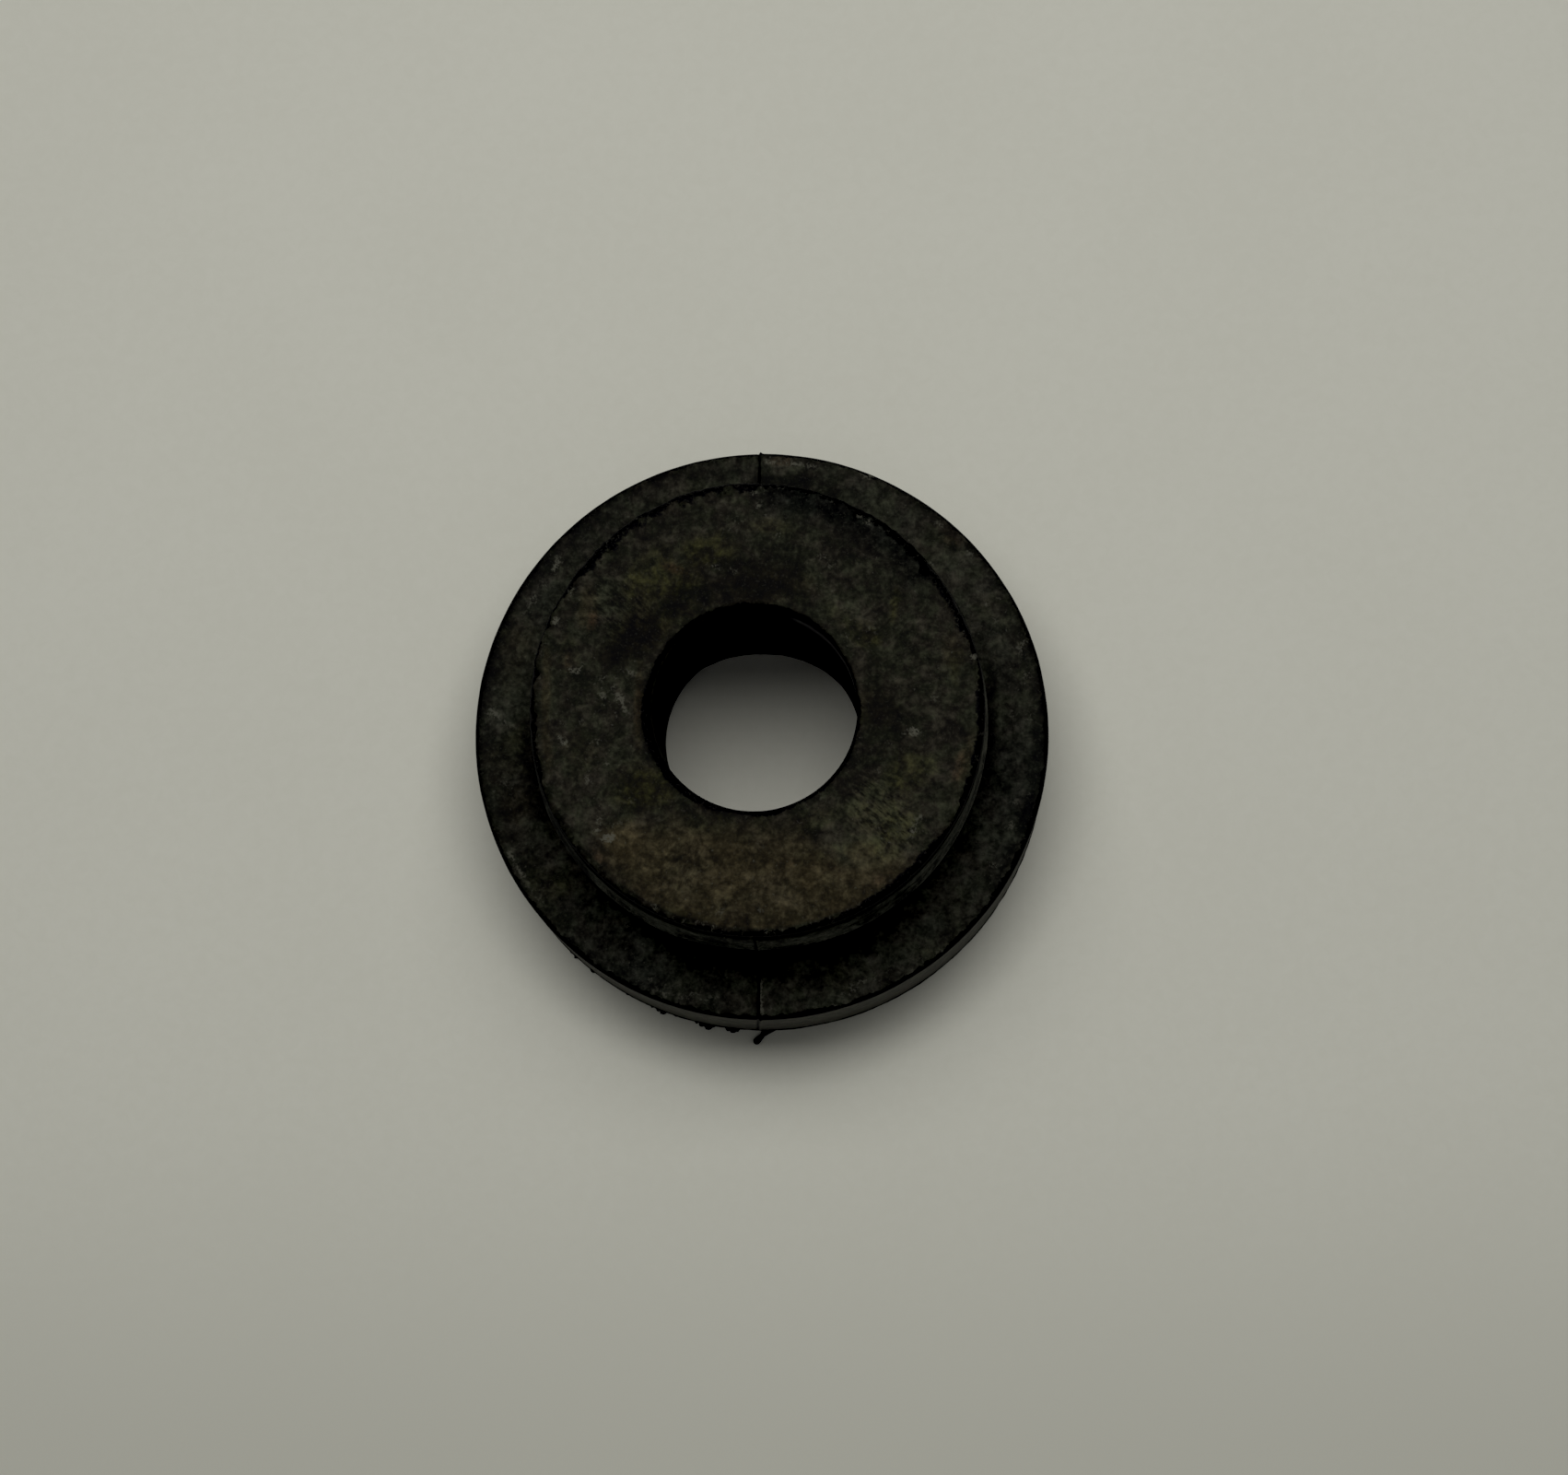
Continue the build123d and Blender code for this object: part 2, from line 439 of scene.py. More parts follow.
# thicker and thinner dust on the face of the lip
level = level + marks((
    (8.60, -7.20, 3.20, 2.10, 45, 1.15), (10.15, -4.60, 1.60, 1.20, 20, 0.35),
    (3.66, -8.80, 1.20, 1.30, 20, -0.60), (-3.00, -7.10, 2.00, 0.60, 0, -0.20),
    (5.60, 6.90, 2.90, 1.00, -47, 0.50), (3.95, 8.60, 0.90, 0.80, 0, 0.25),
    (-3.38, 11.00, 1.80, 1.10, 10, 0.35), (-6.72, 8.90, 1.90, 1.20, 30, 0.40),
    (0.45, 12.48, 1.70, 0.70, 0, 0.40), (-1.60, 12.60, 0.90, 0.70, 0, 0.30),
    (0.26, 8.60, 4.20, 1.70, 0, -0.42), (-4.60, 7.70, 1.80, 1.20, 25, -0.35),
    (-8.10, 4.80, 3.00, 1.60, 40, -0.42), (0.00, 10.60, 3.00, 0.90, 0, -0.15), (7.90, 0.20, 1.60, 1.60, 0, -0.35),
    (5.60, 13.20, 3.20, 1.00, -22, -0.30), (10.60, 9.60, 3.00, 1.00, -46, -0.20),
    (-10.20, -2.60, 0.90, 6.00, 0, 0.10), (8.60, 4.00, 1.60, 0.80, 60, 0.15),
    (11.60, 1.00, 1.60, 2.40, 0, 0.12), (-4.60, -10.40, 1.80, 0.50, 20, -0.25),
    (-9.90, 10.20, 1.00, 0.70, 40, -0.15), (2.30, -12.36, 0.90, 0.40, 0, 0.45),
    (6.88, -9.52, 1.50, 0.80, 15, 0.45), (-5.80, -11.90, 1.60, 0.60, 5, 0.35),
    (-3.20, -9.60, 0.90, 0.80, 0, 0.25), (-7.50, -9.30, 1.00, 1.40, 20, 0.20),
    (-8.30, -1.00, 0.40, 3.00, 0, 0.15),
    (-1.40, 8.30, 3.40, 1.20, 0, -0.40), (-8.40, 4.60, 2.60, 1.10, 40, -0.50),
    (-11.60, 1.60, 1.20, 1.20, 50, -0.18), (-4.40, 10.40, 1.00, 0.80, 0, -0.22),
    (0.80, 11.00, 0.80, 0.90, 0, -0.20), (-7.60, 12.00, 2.20, 0.80, 34, -0.22),
    (8.60, -0.80, 1.70, 1.80, 0, -0.34), (8.00, 1.90, 0.90, 0.90, 0, -0.25),
    (9.90, -5.60, 1.10, 0.90, 0, -0.35), (-7.60, -6.00, 1.20, 1.20, 0, -0.20),
    (-5.50, -9.50, 1.00, 0.80, 0, -0.25), (-1.30, -10.00, 0.90, 0.80, 0, -0.28),
    (-10.30, 10.70, 1.60, 0.70, 46, 0.55), (-11.70, 5.20, 0.90, 1.70, 0, 0.30),
    (-13.60, 0.80, 0.60, 2.60, 0, 0.22), (-12.50, -3.60, 1.10, 1.50, 0, 0.38),
    (-10.90, -4.60, 0.90, 1.00, 0, 0.30), (-11.60, -7.20, 1.00, 1.40, 24, 0.40),
    (-7.00, 10.00, 1.00, 0.80, 0, 0.32), (-10.40, 7.00, 1.20, 0.80, 40, 0.35),
    (2.00, 13.40, 2.20, 0.70, -6, 0.20), (9.70, 11.20, 2.20, 0.80, -46, 0.35),
    (10.80, 8.40, 1.20, 0.90, -40, 0.35), (11.50, 6.80, 0.80, 0.80, 0, 0.28),
    (7.20, 6.40, 1.20, 0.90, -40, 0.45), (9.10, 3.20, 0.90, 0.80, 0, 0.30),
    (12.60, 1.80, 0.90, 2.10, 0, 0.26), (12.50, -4.00, 0.90, 1.20, 0, 0.38),
    (12.30, -7.40, 0.80, 1.40, -30, 0.32), (10.40, -9.30, 1.30, 1.00, 40, 0.50),
    (6.60, -9.60, 2.00, 0.90, 10, 0.70), (4.60, -8.20, 1.30, 0.80, 20, 0.55),
    (2.10, -8.80, 1.10, 0.70, 0, 0.30), (7.60, -11.10, 1.50, 0.80, 24, 0.40),
    (3.00, -12.60, 1.20, 0.90, 0, 0.30), (-1.00, -12.40, 1.20, 0.80, 0, 0.28),
    (-6.00, -11.50, 1.60, 0.90, -10, 0.38), (-7.30, -8.40, 1.00, 0.90, 0, 0.20),
    (1.80, 8.20, 1.60, 1.10, -10, -0.35), (-9.80, 3.30, 1.30, 0.90, 40, -0.22),
    (-5.60, 7.10, 1.30, 1.00, 20, -0.30), (6.80, -4.40, 1.00, 1.00, 0, -0.30),
    (-11.20, 9.60, 1.60, 0.80, 50, 0.45), (8.40, 11.70, 1.60, 0.80, -40, 0.45),
    (-9.90, -4.60, 0.90, 1.20, 0, 0.30), (-11.60, -9.00, 1.20, 1.00, 40, 0.30),
    (5.20, -9.60, 1.80, 1.00, 10, 0.45), (10.20, -8.20, 1.20, 1.10, 40, 0.40),
    (11.90, -6.00, 0.90, 1.50, -20, 0.35),
    (7.60, -8.60, 5.20, 2.40, 28, 0.24), (-10.60, -3.20, 2.40, 5.00, 0, 0.12),
    (-11.20, 5.60, 1.80, 2.60, 0, 0.14), (-12.40, 2.20, 0.90, 0.90, 0, 0.22),
    (10.90, 7.40, 1.20, 1.40, -20, 0.26), (9.20, 11.00, 2.60, 1.00, -42, 0.24),
    (2.80, 13.80, 1.60, 0.60, -6, 0.30), (2.00, -8.60, 1.60, 0.90, 0, 0.30),
    (5.40, -8.40, 1.20, 1.20, 0, 0.25), (13.10, -3.20, 0.80, 1.60, -12, 0.24),
    (4.50, 11.80, 1.20, 1.00, -10, -0.34), (0.20, 10.60, 1.60, 0.90, 0, -0.14),
    (-2.80, 7.90, 1.20, 0.80, 0, -0.22), (-6.60, 6.20, 1.20, 0.90, 30, -0.18),
    (7.60, 4.20, 0.80, 1.60, 30, -0.20), (9.80, -1.80, 2.40, 2.00, 0, -0.14),
    (6.60, -5.60, 1.80, 0.90, 30, -0.22), (-4.20, 12.20, 2.60, 1.40, 16, -0.12),
    (8.20, -9.60, 4.20, 2.20, 38, 0.32), (-11.40, -6.80, 1.60, 3.00, 30, 0.18),
    (11.60, -5.60, 1.60, 2.40, -20, 0.14), (-11.60, 6.60, 1.60, 2.00, -20, 0.10),
    (5.20, -7.90, 2.00, 0.90, 25, 0.14),
), on_top)
# the near third of that face is brown with dried dirt, and lighter
brown_line = 8.0 + 2.3 * smooth(X, 2.2, 6.2) + 1.1 * coarse_edge
near_dirt = smooth(-Y - brown_line, -1.1, 1.1) * smooth(X + 0.35 * Y, -14.6, -12.0) * on_top
level = level + (0.12 + 0.12 * smooth(X, -4.0, 5.0)) * near_dirt * (1 - 0.5 * smooth(-Y, 13.0, 14.8))

# the flange
under_lip = smooth(radius, 15.6, 16.2) * (1 - smooth(radius, 17.8, 19.2))
# painted light: the dust is thickened in the lip's shadow on the near side of the flange, azimuth -156 to -108 and -60
# to -14, to lift that shade
level = level + under_lip * (0.55 * span(az, -156, -108, 14) + 0.15 * span(az, -60, -14, 14)) * on_flange
level = level + 0.30 * under_lip * bell(az, 40, 16) * on_flange + 0.10 * on_flange
level = level + marks((
    (-15.90, 10.60, 0.45, 2.60, -28, 0.15), (-17.40, 5.60, 1.30, 2.60, -12, 0.20),
    (-18.60, 1.10, 1.00, 0.80, -40, 0.35), (-18.00, -1.20, 1.50, 1.80, 0, -0.35),
    (-17.00, -4.80, 1.50, 1.40, 0, -0.25), (-16.10, -6.80, 0.90, 1.20, 30, 0.25),
    (-14.60, -10.60, 1.20, 2.20, 35, -0.15), (-17.30, -8.60, 0.50, 0.60, 30, 0.30),
    (17.20, 6.80, 1.60, 3.60, 22, 0.18), (18.60, 2.40, 0.90, 1.80, 0, 0.20),
    (16.20, 3.70, 0.40, 1.90, 10, -0.55), (18.70, -5.60, 0.90, 1.70, -14, -0.75),
    (17.60, -1.60, 1.40, 1.80, 0, 0.15), (15.10, 11.40, 1.60, 2.60, 42, 0.25),
    (2.60, 17.50, 2.90, 0.80, -8, -0.60), (-17.40, 3.00, 1.60, 4.50, -6, 0.25),
    (-15.00, -9.40, 1.60, 3.40, 32, 0.35), (-3.50, 17.90, 4.20, 0.50, 8, 0.25),
    (-8.60, 16.60, 2.60, 0.60, 27, 0.10), (8.60, 16.90, 2.60, 0.90, -28, 0.20),
    (-6.20, -17.90, 3.00, 0.90, -12, 0.30), (-9.60, -15.90, 2.20, 1.20, -30, 0.15),
    (0.00, -18.20, 9.00, 1.10, 0, 0.45), (9.80, -15.60, 2.80, 1.20, 32, 0.15),
    (13.60, -12.20, 2.20, 1.40, 48, 0.05), (16.20, -8.80, 1.20, 2.00, -25, 0.20),
    (-6.60, 18.20, 3.60, 0.80, 19, -0.50), (-18.60, 5.20, 0.90, 1.60, -14, -0.25),
    (-18.40, 2.00, 1.00, 1.00, 0, 0.30), (-18.20, -3.00, 0.90, 1.20, 0, 0.25),
    (-17.50, -6.60, 1.20, 1.20, 20, -0.32), (-15.60, -8.80, 1.20, 1.40, 30, -0.50),
    (-13.00, -10.40, 1.00, 1.20, 40, 0.30), (-11.90, -13.40, 1.60, 1.20, -42, -0.28),
    (-9.80, -15.50, 1.80, 1.20, -32, -0.30), (-7.60, -14.60, 1.80, 1.00, -26, 0.70),
    (-6.40, -16.20, 1.80, 0.90, -20, 0.25), (-2.40, -17.20, 1.80, 0.80, -6, 0.30),
    (2.90, -16.40, 1.50, 0.80, 8, 0.90), (6.90, -16.20, 1.60, 1.00, 22, 0.80),
    (9.40, -13.60, 1.80, 1.20, 36, -0.50), (12.20, -11.00, 1.80, 1.20, 48, -0.20), (11.60, -12.00, 1.20, 0.90, 40, 0.30),
    (14.20, -8.00, 1.20, 1.90, -28, -0.55), (16.30, -4.60, 1.00, 1.60, -16, -0.32),
    (16.50, 6.00, 0.80, 1.80, 18, 0.40), (17.90, -4.40, 0.70, 1.00, -14, 0.25),
    (6.00, 18.00, 1.60, 0.60, -18, 0.30), (8.60, 17.30, 1.20, 0.60, -26, -0.22),
    (16.40, 9.60, 1.00, 1.20, 30, -0.25), (17.60, -7.20, 0.90, 1.40, -20, 0.35), (-15.80, 9.80, 1.00, 2.40, -32, 0.20),
    (-12.60, 14.20, 2.20, 0.90, 42, -0.15), (0.80, 18.90, 1.40, 0.50, -3, 0.55),
    (-18.30, 0.72, 1.90, 0.45, -22, 0.70), (-15.00, 10.60, 0.60, 1.60, -32, 0.35),
    (16.90, 3.60, 0.60, 1.60, 12, 0.40), (17.90, -5.10, 0.70, 0.90, -14, 0.40),
    (15.90, -4.40, 0.60, 1.00, -14, 0.25), (15.50, -6.60, 0.80, 0.90, -20, -0.25),
    (17.70, -7.40, 0.80, 0.80, -22, -0.35), (13.80, -8.50, 0.80, 1.10, -30, 0.40),
    (14.30, -11.90, 1.40, 1.00, 46, 0.25), (12.40, -10.10, 0.80, 0.80, 0, -0.30),
    (9.90, -14.60, 1.40, 0.90, 34, 0.75), (6.00, -17.00, 1.60, 0.90, 20, 0.45),
    (2.40, -15.90, 1.10, 0.60, 8, 0.40), (-3.00, -17.90, 1.30, 0.60, -8, 0.35),
    (1.50, -17.60, 0.90, 0.60, 5, -0.30), (-17.90, -6.60, 0.80, 0.90, 15, -0.30),
    (-9.90, -14.30, 1.30, 0.70, -34, 0.35), (-15.30, -8.90, 0.70, 0.80, 25, -0.20),
    (-14.00, -11.30, 0.80, 0.80, 0, -0.20), (-18.70, -0.90, 0.60, 0.90, 0, 0.25),
    (-17.10, -2.40, 0.60, 0.80, 0, -0.20), (-11.90, -12.90, 1.00, 0.70, -40, 0.25),
    # the last mark on the next line, at x 1.45, y 19.28, is a painted highlight on the flange's far edge
    (6.40, -13.90, 1.60, 0.80, 22, 0.35), (12.60, -11.60, 2.60, 1.60, 44, -0.22), (1.45, 19.28, 1.30, 0.34, -4, 1.30),
    (16.40, -8.40, 1.80, 3.00, -26, -0.08), (-17.60, 5.00, 1.40, 4.00, -12, -0.10), (0.00, 18.30, 5.00, 0.80, 0, -0.22),
), on_flange)
level = level * np.where(on_flange, 1 - 0.22 * span(az, -160, -94, 22) + 0.13 * span(az, -66, -20, 12), 1.0)
level = level * np.where(on_lip_face, 1 + 0.06 * span(az, -150, -20, 16) * smooth(radius, 10.8, 12.4), 1.0)
# the dust thins out towards the flange's outer edge, with a fine line along it here and there: dusty at azimuth -62 to
# -50, and a painted highlight at -158 to -142
thin = (0.85 * span(az, 122, 182, 16) + 0.80 * span(az, -12, 14, 12) + 0.55 * span(az, 14, 62, 10)
        + 0.55 * span(az, 182, 200, 10) + 0.35 * span(az, 92, 122, 10))
level = level * np.where(on_flange, 1 - 0.95 * thin * smooth(radius, 18.2, 19.9), 1.0)
level = level - (0.75 * span(az, -34, -12, 8) + 0.35 * span(az, -48, -34, 8)) * np.exp(
    -(((radius - 19.20) / 0.27) ** 2)) * on_flange
level = level + 0.75 * span(az, -62, -50, 5) * np.exp(-(((radius - 19.72) / 0.14) ** 2)) * on_flange
# painted highlight along the flange's outer edge, azimuth -158 to -142
level = level + 0.80 * span(az, -158, -142, 6) * np.exp(-(((radius - 19.45) / 0.20) ** 2)) * on_flange

# Clean margins along the edges of the two upper faces. "inside" is how far a
# point lies inside the nearest of them, measured over the surface; the material
# makes the ragged border of the dust from it. It is in mm on the torn side of
# the lip, and stretched where the border runs straighter.
lean = np.zeros(len(rings))
for zone, angles in (("crown", (0, 20, 40, 60, 78, 90)), ("flange_edge", (0, 22.5, 45, 67.5, 90)),
                     ("bore_edge", (25, 50, 72, 90))):
    lean[[n for n, r in enumerate(rings) if r[4] == zone]] = np.radians(angles)
lean = lean[ring_of]
from_crown = np.where(on_crown, -crown[column_of] * (math.pi / 2 - lean), outer[column_of] - radius)
from_bore = np.hypot(X - BORE_SHIFT[0], Y - BORE_SHIFT[1]) - inner[column_of]
from_bore = np.where(zone_of == "bore_edge", -bore_edge[column_of] * lean, from_bore)
from_edge = np.where(zone_of == "flange_edge", -edge[column_of] * (math.pi / 2 - lean),
                     (FLANGE_R - edge[column_of]) - radius)
beads = np.clip(0.45 + 1.1 * noise(points, 0.46, 99), 0, 1)
crown_margin = (-0.22 - 0.08 * span(az, -156, -108, 14) + 0.34 * bell(az, 126.5, 4.5) + 0.44 * bell(az, 133, 3.6)
                + 0.30 * bell(az, 140, 3.6) + 0.52 * beads * span(az, 92, 123, 6)
                + 0.16 * bell(az, 189, 13) + 0.30 * span(az, -64, -34, 14)
                + 0.30 * span(az, -34, 58, 14) + 0.12 * span(az, -130, -64, 10)
                - 0.26 * bell(az, 12, 5) - 0.16 * bell(az, -20, 4) - 0.40 * bell(az, -30, 4.5)
                - 0.14 * span(az, -160, -94, 10) - 0.12 * span(az, 146, 178, 10))
bore_margin = 0.02 - 0.20 * span(az, 6, 168, 16) - 0.20 * bell(az, -100, 7) - 0.08 * bell(az, -60, 12)
edge_margin = -0.16 + 0.08 * span(az, -150, -20, 30) + 0.12 * bell(az, -10, 30) + 0.06 * bell(az, 175, 30)
inside = np.full(len(points), 2.0)
by_crown = (from_crown - crown_margin) * (1.5 - 0.5 * torn[column_of] + 0.8 * span(az, 146, 214, 12))
by_bore = (from_bore - bore_margin) * 2.4
inside = np.where(on_top, np.minimum(by_crown, by_bore), inside)
inside = np.where(on_crown, by_crown, inside)
# on the left the bore's rounded edge is dusty again next to the wall
rim = (span(az, 114, 172, 12) + 0.7 * span(az, 172, 216, 12)) * (lean > 1.1) * (zone_of == "bore_edge")
inside = np.where(zone_of == "bore_edge", by_bore * (1 - rim) + 1.2 * rim, inside)
inside = np.where(on_flange, (from_edge - edge_margin) * 2.0, inside)
clean = 1 - smooth(inside, -0.10, 0.20)

# dark, damp-looking dirt along the lip's edge, on the far side to the right
damp = span(az, 36, 88, 12) * (1 - smooth(from_crown + 1.1 * coarse_edge, 0.5, 2.3)) * (on_top | on_crown)
dust_and_painted_light = dust_and_painted_light * (1 - 0.50 * damp)
dust_and_painted_light = dust_and_painted_light * np.where(on_top, 1 - 0.32 * smooth(radius, 12.6, 14.4) * span(az, -136, -48, 24), 1.0)
near_bore = 0.45 + 0.50 * span(az, -14, 168, 20) + 0.35 * bell(az, -60, 20)
dust_and_painted_light = np.where(on_top, dust_and_painted_light * (near_bore + (1 - near_bore) * smooth(from_bore, 0.0, 0.45 + 0.25 * rag)), dust_and_painted_light)
dust_and_painted_light = dust_and_painted_light * np.where(on_crown, 1 - 0.45 * span(az, -162, -96, 12), 1.0)
wall = zone_of == "bore"
# painted reflection: the bore's left wall, azimuth 170 to 216, is lightened to stand in for the light it reflects from
# the right
dust_and_painted_light = np.where(wall, dust_and_painted_light + 0.9 * span(az, 170, 216, 12) * np.clip(0.8 + 0.6 * rag, 0, None), dust_and_painted_light)
dust_and_painted_light = np.where(rim > 0, dust_and_painted_light + 0.45 * rim, dust_and_painted_light)
# painted shade: the dust on the flange top is thinned next to the lip, partly the clean rubber under its overhang and
# partly the lip's shadow painted on, reaching further out on the near side, at azimuth -16 to 12 and at 178 to 204
kept_outside_lip_shade = smooth(radius, 13.7, 15.6 + 0.6 * rag + 0.9 * span(az, -122, -52, 24))
kept_outside_lip_shade = kept_outside_lip_shade * (1 - 0.80 * span(az, -16, 12, 8) * (1 - smooth(radius, 16.05, 16.75)))
kept_outside_lip_shade = kept_outside_lip_shade + 0.45 * span(az, -44, -16, 10) * smooth(radius, 16.3, 16.9) * (1 - smooth(radius, 17.4, 18.2))
kept_outside_lip_shade = kept_outside_lip_shade * (1 - 0.70 * span(az, 178, 204, 8) * (1 - smooth(radius, 16.5, 17.5)))
dust_and_painted_light = np.where(zone_of == "flange_top", dust_and_painted_light * (0.10 + 0.90 * kept_outside_lip_shade), dust_and_painted_light)
# the lip's side is dark under its top edge and lighter lower down, most to the right of the parting line; there and on
# the left its own lower edge is darker
height = points[:, 2]
band = (0.40 * span(az, -158, -136, 8) + 1.75 * span(az, -136, -105, 6) + 0.40 * span(az, -105, -96, 5)
        + 0.75 * span(az, -96, -84, 5) + 2.00 * span(az, -84, -64, 6) + 1.00 * span(az, -66, -50, 5)
        + 1.35 * span(az, -50, -34, 6) + 1.90 * span(az, -34, 8, 8) + 1.30 * span(az, 8, 24, 8)
        + 0.35 * span(az, 24, 202, 10))
band = band * np.clip(0.95 + 0.7 * rag + 0.5 * noise(points * (1, 1, 0.4), 0.45, 97), 0.1, None)
top_of_band = 0.9 * span(az, -140, -104, 8) + 0.5 * span(az, -90, -64, 8)
across_it = 1 - smooth(height, 16.4 - top_of_band, 17.6 - 0.6 * top_of_band)
across_it = across_it * (1 - 0.35 * span(az, -158, -104, 8) * (1 - smooth(height, 13.2, 13.6)))
across_it = across_it * (1 - 0.80 * span(az, -68, -48, 8) * np.exp(-(((height - 15.0) / 0.9) ** 2)))
on_band = (zone_of == "lip_side") | (zone_of == "lip_root")
dust_and_painted_light = np.where(on_band, 0.05 + 2.0 * band * across_it, dust_and_painted_light)
dust_and_painted_light = dust_and_painted_light * np.clip(level, 0.12, None)

# ---- stains -----------------------------------------------------------------
brown = near_dirt * (0.72 + 0.4 * coarse_edge - 0.20 * patch(2.4, -9.2, 4.0, 1.6)) + marks((
    (0.26, 8.30, 3.60, 1.30, 0, 0.35), (-8.10, 4.80, 2.80, 1.40, 40, 0.35),
    (-14.10, 1.60, 0.35, 2.60, 0, 0.45), (-14.00, -2.40, 0.35, 2.00, 5, 0.35),
    (7.90, 0.20, 1.60, 1.60, 0, 0.20), (-9.00, -9.20, 1.60, 1.40, 0, 0.30),
    (6.80, -9.80, 1.20, 0.70, 10, 0.45), (-7.80, 0.60, 0.35, 3.40, 0, 0.45),
    (-11.50, 6.60, 0.70, 1.50, -12, 0.45), (14.00, -3.40, 0.50, 1.80, -14, 0.35),
    (13.20, 3.80, 0.80, 1.20, 0, 0.30),
), on_top) + marks((
    (-17.40, 5.60, 1.30, 2.60, -12, 0.30), (-17.00, -4.80, 1.50, 1.40, 0, 0.22),
    (17.50, -9.40, 0.50, 2.40, -28, 0.35),
), on_flange)
olive = marks((
    (-7.46, -5.50, 2.10, 1.60, 0, 1.00), (-3.38, 11.00, 1.90, 1.20, 10, 1.00),
    (-6.90, 8.70, 2.10, 1.30, 30, 1.15), (0.80, 12.40, 1.70, 0.60, 0, 0.50),
    (9.30, 7.00, 0.35, 1.30, -10, 0.80), (7.90, 4.70, 0.80, 0.50, -50, 0.70),
    (10.15, -4.60, 1.80, 1.40, 20, 0.70), (8.60, -7.20, 3.00, 2.00, 45, 0.45),
    (4.80, -9.80, 1.80, 0.90, 10, 0.30), (-4.40, -14.10, 1.60, 0.50, -18, 0.60),
    (13.20, 2.40, 0.30, 0.90, 0, 0.45), (10.20, 9.80, 2.60, 1.00, -46, 0.35),
    (5.40, 6.30, 1.40, 0.60, -47, 0.25), (-2.20, -7.30, 0.60, 0.40, 0, 0.60),
    (-4.40, 8.60, 1.60, 0.90, 0, 0.45), (7.00, 5.00, 1.20, 0.90, -40, 0.50),
    (-7.00, 10.20, 1.60, 0.90, 30, 0.50), (-12.60, 3.80, 0.70, 1.60, 0, 0.25),
    (-11.80, -3.00, 1.10, 1.60, 0, 0.25), (9.60, -8.40, 2.20, 1.40, 45, 0.40),
    (-6.40, 6.60, 4.20, 2.00, 40, 0.40), (4.20, -7.60, 2.20, 0.90, 25, 0.30), (-4.20, -7.60, 2.20, 0.90, -25, 0.25),
), on_top) + marks((
    (-17.80, -1.40, 1.70, 1.80, 0, 0.40), (-14.90, -11.00, 1.40, 2.40, 35, 0.45),
    (17.40, 6.40, 1.60, 3.60, 22, 0.20), (5.40, -17.40, 2.20, 1.00, 15, 0.40),
    (-18.20, 6.60, 0.40, 1.60, -18, 0.40), (12.20, -14.60, 1.80, 0.90, 40, 0.25),
), on_flange)
# where the dust is cooler in tone: the flange, most on its near side
cool = on_flange * (0.28 + 0.14 * span(az, -100, -8, 24) + 0.35 * bell(az, -120, 14) - 0.20 * bell(az, 47, 9) - 0.20 * bell(az, 112, 12)
                    + 0.20 * bell(az, -5, 12) + 0.35 * coarse_edge)
cool = cool + 0.90 * on_band
rust_and_highlight_tint = marks((
    (-11.05, 5.90, 0.35, 0.95, -15, 0.80), (-5.60, 9.55, 0.95, 0.32, -18, 0.85),
    (13.50, -3.90, 0.40, 1.30, -14, 0.55), (-10.40, -10.10, 1.00, 0.40, -46, 0.60),
    (8.40, -11.50, 1.00, 0.40, 42, 0.45), (-7.85, 0.40, 0.22, 1.60, -4, 0.55),
    (-12.60, 2.90, 0.25, 0.80, 0, 0.35), (2.30, -10.40, 0.40, 0.30, 0, 0.25),
), on_top) + marks((
    (13.30, 13.58, 0.80, 0.40, -45, 0.35), (18.00, -5.20, 0.30, 0.60, 0, 0.60),
    # the first mark on the next line, at x 1.30, y 19.45, is the pink tint of a painted highlight on the flange's far
    # edge
    (1.30, 19.45, 1.20, 0.25, -3, 0.80), (-0.35, -18.60, 0.30, 0.50, 0, 0.40),
    (-9.80, -13.20, 0.50, 0.30, 0, 0.25),
), on_flange)

